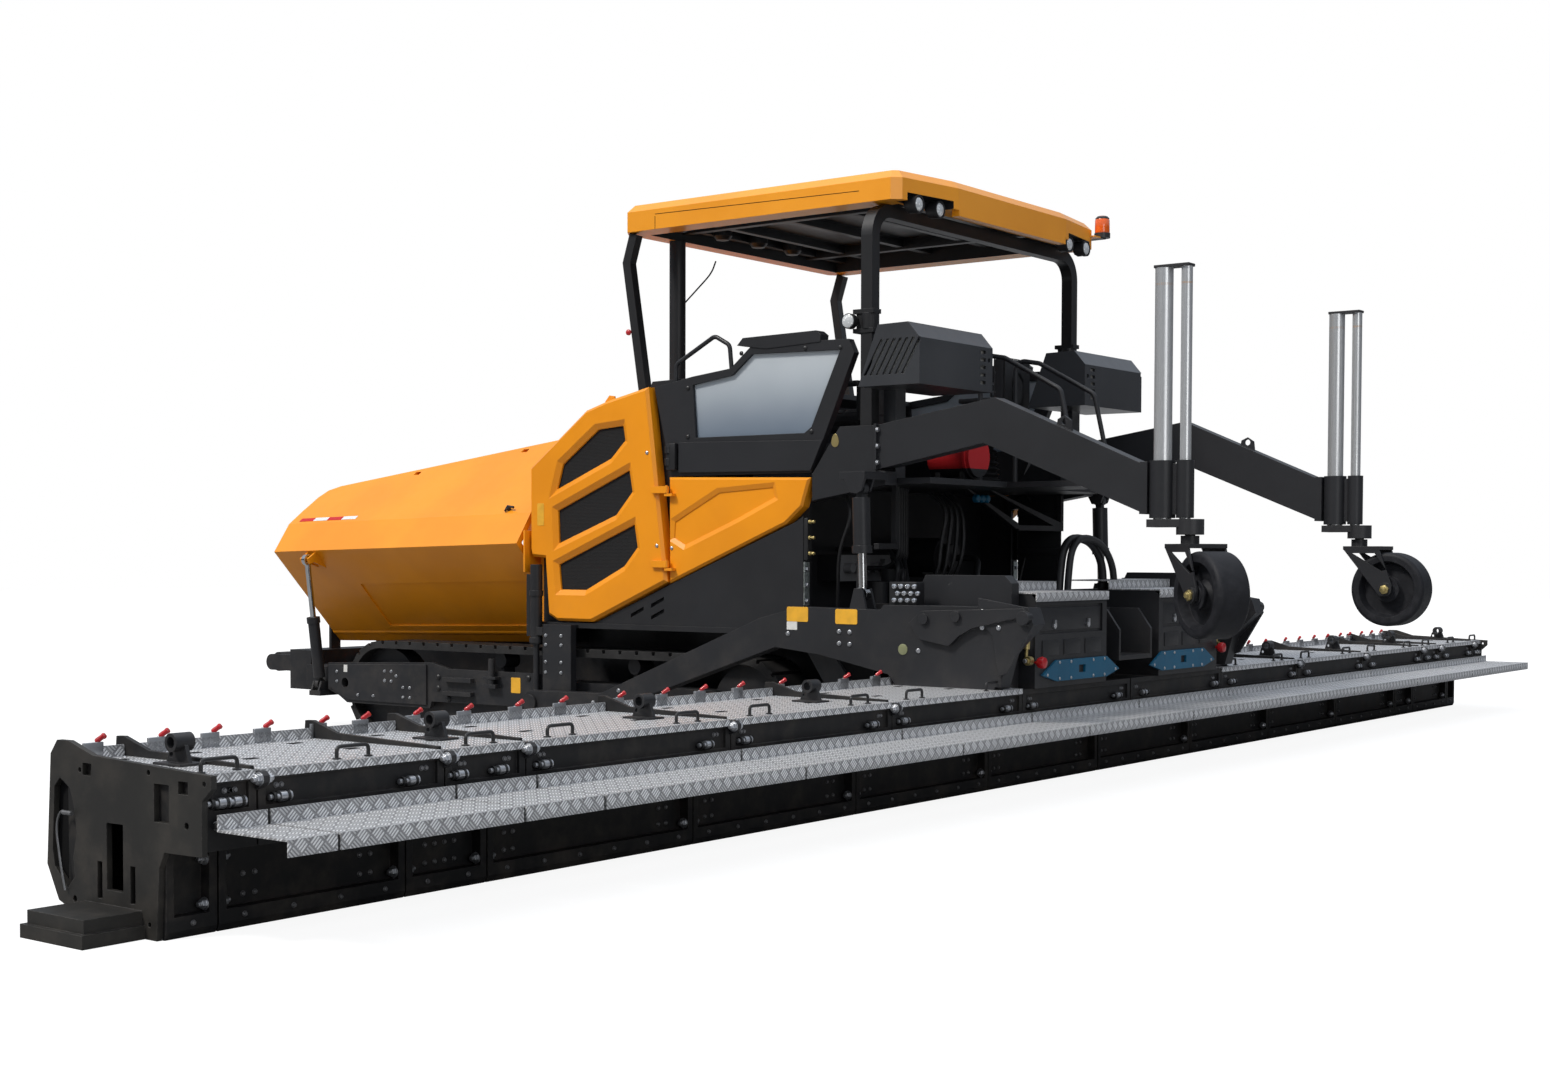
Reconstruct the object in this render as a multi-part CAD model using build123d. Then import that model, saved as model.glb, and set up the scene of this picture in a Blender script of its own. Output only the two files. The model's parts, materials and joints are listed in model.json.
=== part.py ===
from build123d import *
import math
import os

# Tracked asphalt paver with a wide fixed-width screed. Millimetres, +X forward, +Y left, +Z up.
# Stations along X are counted from the screed's rear bottom edge, and finish() shifts the whole
# machine so that the origin is the middle of its box at ground level.

# ---------------------------------------------------------------- driving sizes
BASIC_HALF = 1500            # half of the basic screed
EXTENSIONS = (1500, 1500, 1500, 500, 1000, 250)   # bolt-on widths on each side, inside to outside
MODULE_GAP = 10              # joint between bolted widths
SCREED_DEPTH = 640           # rear edge to mouldboard
SCREED_TOP = 664             # top of the frames
FRAME_REAR = -262            # rear face of the upper frame, behind the screed's rear edge
STEP_Z = 372                 # underside of the overhanging upper frame
DECK_T = 8                   # tread plate on the frames

FLAP_DEPTH = 420             # walkway flap, hinge side to rear lip
FLAP_T = 8
FLAP_PIN_X, FLAP_PIN_Z, FLAP_PIN_R = -292, 474, 12
FLAP_TOP = 463

END_PLATE_T = 26
SKI_WIDTH, SKI_LENGTH, SKI_H = 280, 420, 55

TOW_X, TOW_Z, TOW_PIN_R = 3830, 400, 35       # tow point, the screed's hinge
ARM_IN, ARM_OUT = 1620, 1750                  # tow arm, inner and outer face

LIFT_X, LIFT_Y, LIFT_TOP_Z, LIFT_EYE_Z = 850, 1685, 1960, 1262
LIFT_PIN_R = 22

TRACK_IN, TRACK_OUT = 1090, 1450
GUIDE_REAR, GUIDE_FRONT = 3600, 3890           # plate that guides the tow point
TRACK_R = 400                # outside radius of the loop at both ends
DRIVE_X, IDLER_X = 2050, 5850
SHOE_PITCH_COUNT = 62
BELT_T, SHOE_T, SHOE_GAP = 62, 28, 26

HULL_HALF = 810              # outside of the hull's side plates
HULL_Z0, HULL_Z1 = 400, 960
HULL_REAR, HULL_FRONT = 1350, 6620
PLATE = 50

DECK_Z = 960                 # fender deck, underside
DECK_PLATE = 40
BODY_HALF = 1400             # width of the hood behind the side panels
PANEL_T = 90                 # thickness of the moulded side panels
PANEL_GAP = 8

FLOOR_Z, FLOOR_T = 2040, 40  # operator's floor, top face and thickness

WING_REAR, WING_FRONT = 4130, 7010
WING_RISE = 0.024            # the hopper climbs towards the rear by this share of the length
# Section of the hopper side at its front end, Y and Z: lower lip, knuckle, crease, and where the lid aims.
WING_LIP, KNUCKLE, WING_CREASE, WING_TOP = (880, 750), (1600, 1531), (1440, 1770), (450, 2531)
WING_HINGE, WING_TUBE_R, WING_PIN_R = (925, 845), 38, 20
WING_T = 46
RIM_FRONT_Z, RIM_RISE = 2080, 0.155   # upper edge of the wing and its climb to the rear

ROOF_Z0, ROOF_Z1 = 3905, 4108
ROOF_REAR, ROOF_FRONT, ROOF_HALF = 690, 3260, 1395
LAMP_Y0, LAMP_Y1 = 820, 1290   # recesses for the work lamps in the roof's rear edge

POST_Y = 1410
ROD_BIG = (-1175, 55)        # station and radius of the thick chrome tube
ROD_SMALL = (-1325, 34)      # and of the thin one behind it
ROD_TOP, SLEEVE_TOP, SLEEVE_BOTTOM = 3270, 2100, 1750
SWIVEL_X, TRAIL = -1360, 240
CASTER_YAW = (-33, 0)        # how the left and the right support wheel stand
WHEEL_R, WHEEL_W, WHEEL_Z = 262, 220, 1285

ROLLER_X, ROLLER_Z, ROLLER_R, ROLLER_LEN = 7470, 560, 85, 1080
AUGER_X, AUGER_Z, AUGER_R, AUGER_END = 1060, 430, 205, 1430

X_MIN = SWIVEL_X - TRAIL - WHEEL_R
X_MAX = ROLLER_X + ROLLER_R
X_MID = (X_MIN + X_MAX) / 2

FIT = 0.05                   # radial play of a running fit
NODES = {}


# ---------------------------------------------------------------- helpers
def box(x0, x1, y0, y1, z0, z1):
    return Pos((x0 + x1) / 2, (y0 + y1) / 2, (z0 + z1) / 2) * Box(abs(x1 - x0), abs(y1 - y0), abs(z1 - z0))


def slab(points, y0, y1):
    """A side outline in X and Z, from y0 to y1."""
    face = make_face(Polyline(*[(x, y0, z) for x, z in points], close=True))
    return extrude(face, amount=abs(y1 - y0), dir=(0, 1 if y1 > y0 else -1, 0))


def cross(points, x0, x1):
    """An outline in Y and Z, from x0 to x1."""
    face = make_face(Polyline(*[(x0, y, z) for y, z in points], close=True))
    return extrude(face, amount=abs(x1 - x0), dir=(1 if x1 > x0 else -1, 0, 0))


def plan(points, z0, z1):
    """An outline in X and Y, from z0 to z1."""
    face = make_face(Polyline(*[(x, y, z0) for x, y in points], close=True))
    return extrude(face, amount=z1 - z0, dir=(0, 0, 1))


def rod_y(x, z, r, y0, y1):
    return Pos(x, (y0 + y1) / 2, z) * Rot(90, 0, 0) * Cylinder(r, abs(y1 - y0))


def rod_x(y, z, r, x0, x1):
    return Pos((x0 + x1) / 2, y, z) * Rot(0, 90, 0) * Cylinder(r, abs(x1 - x0))


def rod_z(x, y, r, z0, z1):
    return Pos(x, y, (z0 + z1) / 2) * Cylinder(r, abs(z1 - z0))


def pipe(points, r, bend):
    """A round tube along straight runs with rounded corners."""
    path = FilletPolyline(*points, radius=bend)
    return sweep(Plane(origin=path @ 0, z_dir=path % 0) * Circle(r), path=path)


def strip(points, t):
    """A band of thickness t to the left of an open line of points, with mitred corners."""
    def normal(a, b):
        length = math.hypot(b[0] - a[0], b[1] - a[1])
        return (-(b[1] - a[1]) / length, (b[0] - a[0]) / length)
    side = [normal(a, b) for a, b in zip(points, points[1:])]
    back = []
    for i, p in enumerate(points):
        n0, n1 = side[max(i - 1, 0)], side[min(i, len(side) - 1)]
        k = t / (1 + n0[0] * n1[0] + n0[1] * n1[1])
        back.append((p[0] + k * (n0[0] + n1[0]), p[1] + k * (n0[1] + n1[1])))
    return list(points) + back[::-1]


def right(shape):
    return mirror(shape, about=Plane.XZ)


def node(name, *shapes):
    NODES[name] = list(shapes)


def both(name, *shapes):
    """The same piece on the left, and mirrored on the right."""
    node(name + "_left", *shapes)
    node(name + "_right", *[right(s) for s in shapes])


def ram(base, eye, axis, barrel_r, barrel_len, rod_start, rod_r, eye_r, pin_r, width):
    """A hydraulic cylinder from its base pin to its rod's eye, as barrel and rod. axis is the pins'.

    The rod's eye is the linkage's open pivot, so its hole is wider than the pin by EYE_PLAY.
    """
    way = Vector(*eye) - Vector(*base)
    length = way.length
    place = Plane(origin=base, x_dir=axis, z_dir=way).location
    turn = Rot(0, 90, 0)
    bottom = eye_r + 14
    barrel = turn * Cylinder(eye_r, width) + Pos(0, 0, bottom / 2) * Box(width, width, bottom)
    barrel += Pos(0, 0, (bottom + barrel_len) / 2) * Cylinder(barrel_r, barrel_len - bottom)
    barrel += Pos(0, 0, barrel_len - 25) * Cylinder(barrel_r + 8, 50)
    barrel -= turn * Cylinder(pin_r + FIT, width * 3)
    start = bottom + 20
    barrel -= Pos(0, 0, (start + barrel_len + 20) / 2) * Cylinder(rod_r + FIT, barrel_len + 20 - start)
    rod = Pos(0, 0, (rod_start + length) / 2) * Cylinder(rod_r, length - rod_start)
    rod += Pos(0, 0, length) * turn * Cylinder(eye_r, width)
    rod -= Pos(0, 0, length) * turn * Cylinder(pin_r + EYE_PLAY, width * 3)
    return place * barrel, place * rod


EYE_PLAY = 15


# ---------------------------------------------------------------- screed
def edges():
    """Inner and outer Y of each bolt-on width, inside to outside."""
    y, out = BASIC_HALF, []
    for width in EXTENSIONS:
        out.append((y, y + width))
        y += width
    return out


SCREED_HALF = BASIC_HALF + sum(EXTENSIONS)
FRAME = [(0, 0), (SCREED_DEPTH - 20, 0), (SCREED_DEPTH, 40), (SCREED_DEPTH, SCREED_TOP),
         (FRAME_REAR, SCREED_TOP), (FRAME_REAR, STEP_Z), (-12, STEP_Z), (-12, 30)]


def hinge_points(y0, y1):
    inset = min(160, (y1 - y0) / 4)
    return (y0 + inset, y1 - inset)


EAR_T, LUG_T, PIN_LEN = 16, 16, 44
SHELL, BULKHEAD, FLANGE = 22, 14, 36   # wall, end wall and bolting flange of a hollow frame
RAIL_Z, RECESS_X, BEAM_RECESS = 86, 46, 18   # rear rail's height, and the depth of the panels behind the flanges
# Upper edge shared by the end plates and the ribs that stand in each joint.
RIB_TOP = [(655, 700), (650, 752), (599, 754), (430, 704), (-230, 684)]


def frame_module(y0, y1):
    """One bolted width: a hollow box frame with flanged ends, bolted to its inner neighbour."""
    start = y0 + MODULE_GAP
    body = slab(FRAME, start, y1)
    body += box(60, SCREED_DEPTH - 60, y0, start + 1, 40, SCREED_TOP - 40)
    body -= box(-13, RECESS_X, start + FLANGE, y1 - FLANGE, RAIL_Z, STEP_Z + 1)
    body -= box(FRAME_REAR - 1, FRAME_REAR + BEAM_RECESS, start + FLANGE, y1 - FLANGE, FLAP_PIN_Z + 54, SCREED_TOP - 34)
    back, deep = FRAME_REAR + BEAM_RECESS + SHELL, RECESS_X + SHELL
    body -= slab([(deep, SHELL), (SCREED_DEPTH - 30, SHELL), (SCREED_DEPTH - SHELL, 60),
                  (SCREED_DEPTH - SHELL, SCREED_TOP - SHELL), (back, SCREED_TOP - SHELL), (back, STEP_Z + SHELL),
                  (deep, STEP_Z + SHELL)], start + BULKHEAD, y1 - BULKHEAD)
    body -= box(170, 480, y0 - 1, y1 + 1, 130, 560)
    for y in hinge_points(y0, y1):
        ear = slab([(FRAME_REAR, FLAP_PIN_Z - 26), (FLAP_PIN_X - 16, FLAP_PIN_Z - 20),
                    (FLAP_PIN_X - 16, FLAP_PIN_Z + 20), (FRAME_REAR, FLAP_PIN_Z + 26)], y, y + EAR_T)
        body += ear + rod_y(FLAP_PIN_X, FLAP_PIN_Z, FLAP_PIN_R, y + EAR_T, y + PIN_LEN)
    return body


def rib(y):
    """The plate that stands up out of a joint between two widths."""
    return slab([(560, SCREED_TOP)] + RIB_TOP + [(-230, SCREED_TOP)], y - 5, y + 15)


def tread_plate(y0, y1):
    """Deck plate with an upstand in front and a lip turned down over the frame's rear face."""
    front, rear, top = SCREED_DEPTH - 40, FRAME_REAR, SCREED_TOP + DECK_T
    return slab([(rear, SCREED_TOP), (front, SCREED_TOP), (front, top + 48), (front - DECK_T, top + 48),
                 (front - DECK_T, top), (rear - DECK_T, top), (rear - DECK_T, SCREED_TOP - 26),
                 (rear, SCREED_TOP - 26)], y0 + 6, y1 - 6)


def lifting_stand(y):
    """Tube head on a raked plate, for the lifting hook and the tension rods."""
    top = SCREED_TOP + DECK_T
    stand = slab([(40, top), (190, top), (170, top + 70), (120, top + 108), (70, top + 80)], y - 9, y + 9)
    stand += box(30, 210, y - 60, y + 60, top, top + 10)
    stand += rod_y(112, top + 92, 38, y - 46, y + 46)
    stand -= rod_y(112, top + 92, STAND_BORE_R, y - 47, y + 47)
    return stand - rod_y(158, top + 40, 12, y - 10, y + 10)


FLAP_FRONT = FLAP_PIN_X - 30
FLAP_REAR = FLAP_FRONT - FLAP_DEPTH


def flap(y0, y1):
    """Walkway flap: upstanding front lip, tread and turned-down rear lip, on two hinge lugs."""
    z = FLAP_TOP
    plate = slab([(FLAP_FRONT, z + 58), (FLAP_FRONT - FLAP_T, z + 58), (FLAP_FRONT - FLAP_T, z),
                  (FLAP_REAR, z), (FLAP_REAR, z - 66), (FLAP_REAR + FLAP_T, z - 66),
                  (FLAP_REAR + FLAP_T, z - FLAP_T), (FLAP_FRONT, z - FLAP_T)], y0 + 8, y1 - 8)
    for y in hinge_points(y0, y1):
        lug_y = y + EAR_T + 6
        lug = box(FLAP_FRONT - 2, FLAP_PIN_X, lug_y, lug_y + LUG_T, FLAP_PIN_Z - 18, FLAP_PIN_Z + 18)
        lug += rod_y(FLAP_PIN_X, FLAP_PIN_Z, 18, lug_y, lug_y + LUG_T)
        plate += lug
        plate -= rod_y(FLAP_PIN_X, FLAP_PIN_Z, FLAP_PIN_R + FIT, lug_y - 1, lug_y + LUG_T + 1)
    return plate


STAND_BORE_R = 24
STAND_Y = (3280, 4750, 6200, 7590)             # lifting stands on each side
COVER_Y0, COVER_Y1, COVER_TOP = 400, 1380, 1272    # heating and power boxes on the basic screed
CHEEK_Y0, CHEEK_Y1 = 1400, 1496                # raised cheek beside each box
LOCK_T = 18


def screed_cover():
    """Box with a rounded rear top edge, a lower apron, and a cheek towards the tow arm."""
    rear, front = -280, 470
    body = box(rear, front, COVER_Y0, COVER_Y1, SCREED_TOP, COVER_TOP)
    body = fillet(body.edges().filter_by(Axis.Y).sort_by(lambda e: e.center().Z - e.center().X)[-1], 60)
    body -= box(rear - 1, rear + 16, COVER_Y0 + 60, COVER_Y1 - 60, 1010, 1200)
    cheek = slab([(-170, SCREED_TOP), (480, SCREED_TOP), (640, 1090), (480, 1390), (-120, 1390), (-170, 1340)],
                 CHEEK_Y0, CHEEK_Y1)
    return body + cheek + box(0, 400, COVER_Y1 - 1, CHEEK_Y0 + 1, 760, 1180)


def lock_plate():
    """Blue clamping plate with cropped corners and a slot for the lock."""
    face = make_face(Polyline(*[(-280, y, z) for y, z in
                                [(240, 745), (425, 838), (1120, 838), (1310, 745), (1120, 700), (425, 700)]], close=True))
    plate = extrude(face, amount=LOCK_T, dir=(-1, 0, 0))
    return plate - box(-400, -200, 730, 820, 745, 795)


def step_frame():
    """Folding step in the gap between the two boxes."""
    frame = box(-300, 60, -250, 250, 800, 830)
    for y in (-250, 226):
        frame += slab([(-300, 800), (60, 800), (60, 1150), (-200, 1150), (-300, 1010)], y, y + 24)
    frame += box(20, 60, -250, 250, 829, 1150) + box(-20, 60, -250, 250, SCREED_TOP, 801)
    for y in (-COVER_Y0, 249):
        frame += box(0, 50, y, y + COVER_Y0 - 249, 1050, 1100)
    return frame


def screed():
    basic = frame_module(0, BASIC_HALF)
    spans = edges()
    extension = Part() + [frame_module(a, b) for a, b in spans] + [rib(a) for a, _ in spans[1:]]
    treads = [tread_plate(a + MODULE_GAP, b) for a, b in spans]
    treads.append(slab([(-286, COVER_TOP), (120, COVER_TOP), (120, COVER_TOP + 62), (470, COVER_TOP + 62),
                        (470, COVER_TOP + 70), (112, COVER_TOP + 70), (112, COVER_TOP + DECK_T), (-294, COVER_TOP + DECK_T),
                        (-294, COVER_TOP - 50), (-286, COVER_TOP - 50)], COVER_Y0 - 6, COVER_Y1 + 6))
    node("basic_screed", basic + right(basic))
    cover, lock = screed_cover(), lock_plate()
    node("screed_covers", cover, right(cover), step_frame())
    node("lock_plates", lock, right(lock))
    node("extensions", extension, right(extension))
    node("top_plates", *treads, *[right(s) for s in treads])
    stands = [lifting_stand(y) for y in STAND_Y]
    node("lifting_stands", *stands, *[right(s) for s in stands])
    both("walkway", *[flap(a, b) for a, b in [(0, BASIC_HALF)] + spans])

    y0 = SCREED_HALF
    outline = [(13, 0), (112, 0), (520, 40), (674, 93), (755, 236), (725, 695), (678, 753), (599, 754),
               (430, 704), (-333, 673), (-333, 623), (-276, 572), (-273, 356), (-38, 354), (-4, 287)]
    y1 = y0 + END_PLATE_T
    plate = slab(outline, y0, y1)
    # Arched cut-out over the mouldboard's end, then windows and slots: station, width, lower edge, height.
    plate -= slab([(610, 150), (700, 230), (715, 300), (700, 560), (660, 600), (590, 560), (560, 480), (545, 380),
                   (570, 280), (560, 200)], y0 - 1, y1 + 1)
    for x, width, z, height in ((-70, 96, 470, 150), (230, 110, 170, 270), (-190, 62, 590, 50), (440, 62, 620, 50),
                                (150, 34, 130, 150), (370, 34, 130, 150)):
        plate -= box(x, x + width, y0 - 1, y1 + 1, z, z + height)
    for x, z, r in ((520, 640, 11), (60, 660, 11), (-290, 640, 11), (-180, 470, 14), (560, 110, 14), (60, 60, 11)):
        plate -= rod_y(x, z, r, y0 - 1, y1 + 1)
    ski = box(90, 90 + SKI_LENGTH, y1, y1 + SKI_WIDTH, 0, SKI_H)
    ski += box(110, 70 + SKI_LENGTH, y1, y1 + SKI_WIDTH - 20, SKI_H, 2 * SKI_H)
    node("end_plates", plate + ski, right(plate + ski))

    # Tow arm: deep rear plate, arched underside over the drive, long nose to the tow point.
    nose = 90
    arm = slab([(-487, 1089), (-451, 1194), (640, 1194), (669, 1160), (1320, 1168), (1660, 1086), (3133, 500),
                (TOW_X - 60, TOW_Z + nose), (TOW_X, TOW_Z + nose), (TOW_X, TOW_Z - nose), (3200, 310),
                (2720, 490), (1530, 891), (1152, 850), (667, 753), (604, 740), (560, 690), (-240, 690), (-300, 900)],
               ARM_IN, ARM_OUT)
    arm += rod_y(TOW_X, TOW_Z, nose, ARM_IN, ARM_OUT)
    arm -= rod_y(TOW_X, TOW_Z, TOW_PIN_R + FIT, ARM_IN - 1, ARM_OUT + 1)
    # Raised rear cheek, the crank that sets the screed's angle, and its link to the screed.
    arm += slab([(-487, 1089), (-451, 1194), (-90, 1250), (-90, 1120), (-200, 1010), (-240, 760), (-300, 780)],
                ARM_OUT - 1, ARM_OUT + 22)
    arm += slab([(-470, 1150), (-420, 1190), (330, 1160), (420, 1080), (340, 980), (120, 940), (40, 1010), (-60, 1060)],
                ARM_OUT - 1, ARM_OUT + 40)
    for x, z, r in ((-430, 1130, 44), (60, 1130, 34), (300, 1110, 34)):
        arm += rod_y(x, z, r, ARM_OUT, ARM_OUT + 62)
    # Foot that carries the arm on the screed's top, and the lift pin's two ears.
    arm += box(-200, 560, BASIC_HALF + MODULE_GAP + 6, ARM_OUT, SCREED_TOP + DECK_T, 691)
    for y in (LIFT_Y - 62, LIFT_Y + 42):
        arm += slab([(LIFT_X - 70, 1150), (LIFT_X + 70, 1150), (LIFT_X + 30, LIFT_EYE_Z + 36),
                     (LIFT_X - 30, LIFT_EYE_Z + 36)], y, y + 20)
    arm += rod_y(LIFT_X, LIFT_EYE_Z, LIFT_PIN_R, LIFT_Y - 62, LIFT_Y + 62)
    node("tow_arms", arm, right(arm))


# ---------------------------------------------------------------- tractor, under
def track_loop(offset, s):
    """Point of the loop at distance s along its middle line, offset outwards from its axle radius."""
    run = IDLER_X - DRIVE_X
    arc = math.pi * TRACK_R
    s %= 2 * (run + arc)
    r = TRACK_R + offset
    if s < run:
        return (DRIVE_X + s, TRACK_R + r)
    s -= run
    if s < arc:
        a = math.pi / 2 - s / TRACK_R
        return (IDLER_X + r * math.cos(a), TRACK_R + r * math.sin(a))
    s -= arc
    if s < run:
        return (IDLER_X - s, TRACK_R - r)
    s -= run
    a = -math.pi / 2 - s / TRACK_R
    return (DRIVE_X + r * math.cos(a), TRACK_R + r * math.sin(a))


def track():
    total = 2 * (IDLER_X - DRIVE_X) + 2 * math.pi * TRACK_R
    pitch = total / SHOE_PITCH_COUNT
    outline = []
    for i in range(SHOE_PITCH_COUNT):
        s = i * pitch
        for offset, at in ((-SHOE_T, s), (-SHOE_T, s + SHOE_GAP), (0, s + SHOE_GAP + 4), (0, s + pitch - 4)):
            outline.append(track_loop(offset, at))
    belt = slab(outline, TRACK_IN, TRACK_OUT)
    inner = TRACK_R - BELT_T
    hole = box(DRIVE_X, IDLER_X, TRACK_IN - 1, TRACK_OUT + 1, TRACK_R - inner, TRACK_R + inner)
    for x in (DRIVE_X, IDLER_X):
        hole += rod_y(x, TRACK_R, inner, TRACK_IN - 1, TRACK_OUT + 1)
    return belt - hole


def track_frame():
    """Beam with rollers, idler and drive wheel inside the loop, on two stub axles from the hull."""
    inner = TRACK_R - BELT_T
    mid = (TRACK_IN + TRACK_OUT) / 2
    frame = box(DRIVE_X + 260, IDLER_X - 200, mid - 110, mid + 150, 190, 540)
    roller_r = 85
    z = TRACK_R - inner + roller_r
    for i in range(8):
        x = DRIVE_X + 420 + i * (IDLER_X - DRIVE_X - 840) / 7
        frame += rod_y(x, z, roller_r, mid - 90, mid + 90)
    for x in (DRIVE_X + 1100, IDLER_X - 1300):
        frame += rod_y(x, TRACK_R + inner - 60, 60, mid - 80, mid + 80)
        frame += box(x - 20, x + 20, mid - 60, mid + 60, 530, TRACK_R + inner - 60)
    frame += rod_y(IDLER_X, TRACK_R, inner, mid - 80, mid + 80)
    frame += box(IDLER_X - 240, IDLER_X, mid - 60, mid + 60, 330, 470)
    frame += rod_y(DRIVE_X, TRACK_R, inner, mid - 80, mid + 80)
    frame += box(DRIVE_X, DRIVE_X + 280, mid - 60, mid + 60, 330, 470)
    for x, r in ((DRIVE_X, 150), (3900, 110), (5200, 90)):
        frame += rod_y(x, TRACK_R, r, HULL_HALF, mid)
    return frame


def hull():
    floor = box(HULL_REAR, HULL_FRONT, -HULL_HALF + PLATE, HULL_HALF - PLATE, HULL_Z0, HULL_Z0 + PLATE)
    side = box(HULL_REAR, HULL_FRONT, HULL_HALF - PLATE, HULL_HALF, HULL_Z0, HULL_Z1 - 70)
    side += box(HULL_REAR, WING_REAR - 30, HULL_HALF - PLATE, HULL_HALF, HULL_Z1 - 71, HULL_Z1)
    lug_x = WING_REAR - 38
    side += box(lug_x, lug_x + 30, HULL_HALF - 1, 975, 820, DECK_Z)
    side += along_wing(WING_HINGE, WING_PIN_R, lug_x + 25, lug_x + 110)
    node("hull_floor", floor)
    node("hull_sides", side, right(side))
    web_half = 40
    web = box(HULL_REAR, HULL_FRONT + 300, -web_half, web_half, HULL_Z0 + PLATE, 720)
    web += box(HULL_REAR, WING_REAR - 30, -web_half, web_half, 719, DECK_Z)
    lane_half = HULL_HALF - PLATE
    web += box(HULL_REAR + 2, HULL_FRONT + 300, -lane_half, lane_half, 600, 640)
    count = 22
    for i in range(count):
        x = HULL_REAR + 60 + i * 250
        web += box(x, x + 40, -lane_half + 20, lane_half - 20, 639, 676)
    node("conveyor", web)
    deck = box(1480, WING_REAR - 30, -1480, 1480, DECK_Z, DECK_Z + DECK_PLATE)
    deck += box(820, 1481, -1300, 1300, DECK_Z, DECK_Z + DECK_PLATE)
    node("fender_deck", deck)
    beam = box(HULL_FRONT + 300, HULL_FRONT + 580, -1280, 1280, 338, 680)
    beam -= box(HULL_FRONT + 570, HULL_FRONT + 590, -1100, 1100, 400, 620)
    beam += box(6640, HULL_FRONT + 301, HULL_HALF, 1330, 380, 560) + box(6640, HULL_FRONT + 301, -1330, -HULL_HALF, 380, 560)
    for side in (1, -1):
        arm = box(RAM_X - 70, RAM_X + 70, HULL_HALF, 1560, 320, 362) + box(RAM_X - 70, 6700, HULL_HALF, 1330, 320, 400)
        for x in (RAM_X - 55, RAM_X + 35):
            arm += cross([(1440, 360), (1560, 360), (1530, 442), (1470, 442)], x, x + 20)
        arm += rod_x(RAM_BASE[0], RAM_BASE[1], RAM_PIN_R, RAM_X - 55, RAM_X + 55)
        lug = box(WING_FRONT + 6, WING_FRONT + 36, 870, 975, 670, 890)
        lug += along_wing(WING_HINGE, WING_PIN_R, WING_FRONT - 70, WING_FRONT + 10)
        # Rail outside the track: bridge from the beam, bolted cheek, and the run back to the tow guide.
        rail = box(6300, 6641, 1250, 1430, 390, 560) + box(6300, 6436, 1250, 1500, 390, 590)
        rail += slab([(6436, 600), (5180, 645), (4980, 600), (GUIDE_FRONT - 120, 600), (GUIDE_FRONT - 120, 340), (5180, 330),
                      (5200, 275), (6200, 275), (6300, 330), (6436, 377)], 1462, 1500)
        rail += slab([(6420, 585), (5230, 625), (5230, 300), (6170, 300), (6420, 400)], 1499, 1514)
        rail -= rod_y(6210, 440, 42, 1400, 1600)
        for z in (390, 500):
            rail += box(4690, 5010, 1499, 1545, z, z + 34)
        rail += rod_z(4470, 1530, 26, 470, 700) + box(4400, 4540, 1499, 1560, 470, 500) + box(4400, 4540, 1499, 1560, 540, 560)
        beam += arm + lug + rail if side > 0 else right(arm + lug + rail)
    for y in (-1270, -60, 30, 1240):
        beam += box(HULL_FRONT + 579, ROLLER_X, y, y + 30, ROLLER_Z - 70, ROLLER_Z + 70)
        beam += rod_y(ROLLER_X, ROLLER_Z, 70, y, y + 30)
    axle_r = 22
    for y0, y1 in ((60, 1240), (-1240, -60)):
        beam += rod_y(ROLLER_X, ROLLER_Z, axle_r, y0, y1)
    node("push_beam", beam)
    roller = rod_y(ROLLER_X, ROLLER_Z, ROLLER_R, 650 - ROLLER_LEN / 2, 650 + ROLLER_LEN / 2)
    roller -= rod_y(ROLLER_X, ROLLER_Z, axle_r + FIT, 0, 1400)
    both("push_roller", roller)


AUGER_PIN_R, AUGER_PIN_END = 25, 110


def auger():
    """Shaft with half-turn blades, hung between the centre gear case and the outer bearing."""
    case = box(AUGER_X - 110, HULL_REAR, -60, 60, 330, 900)
    case += rod_y(AUGER_X, AUGER_Z, AUGER_PIN_R, -AUGER_PIN_END, AUGER_PIN_END)
    shaft_r = 45
    shaft = rod_y(AUGER_X, AUGER_Z, shaft_r, 62, AUGER_END)
    count = 8
    step = (AUGER_END - 160) / count
    for i in range(count):
        y = 130 + step * (i + 0.25)
        ring = Cylinder(AUGER_R - 6, 16) - Cylinder(shaft_r - 5, 30)
        half = ring - Pos(0, -AUGER_R, 0) * Box(2 * AUGER_R + 20, 2 * AUGER_R, 60)
        turn = 180 * (i % 2)
        shaft += Pos(AUGER_X, y, AUGER_Z) * Rot(90, 0, 0) * Rot(0, 0, turn) * Rot(0, 24, 0) * half
    shaft -= rod_y(AUGER_X, AUGER_Z, AUGER_PIN_R + FIT, 0, AUGER_PIN_END + 4)
    shaft -= rod_y(AUGER_X, AUGER_Z, AUGER_PIN_R + FIT, AUGER_END - 50, AUGER_END + 1)
    both("auger", shaft)
    hanger = slab([(AUGER_X - 70, AUGER_Z - 70), (AUGER_X + 70, AUGER_Z - 70), (HULL_REAR + 130, 860),
                   (HULL_REAR + 130, DECK_Z), (HULL_REAR, DECK_Z), (AUGER_X - 70, AUGER_Z + 90)],
                  AUGER_END + 4, AUGER_END + 30)
    hanger += rod_y(AUGER_X, AUGER_Z, AUGER_PIN_R, AUGER_END - 46, AUGER_END + 10)
    node("auger_hangers", case, hanger, right(hanger))


# ---------------------------------------------------------------- hopper
def hopper_line(point, x):
    """A point of the wing's section carried along the climbing hopper to station x."""
    return (x, point[0], point[1] + (WING_FRONT - x) * WING_RISE)


WING_AXIS = (1, 0, -WING_RISE)


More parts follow.
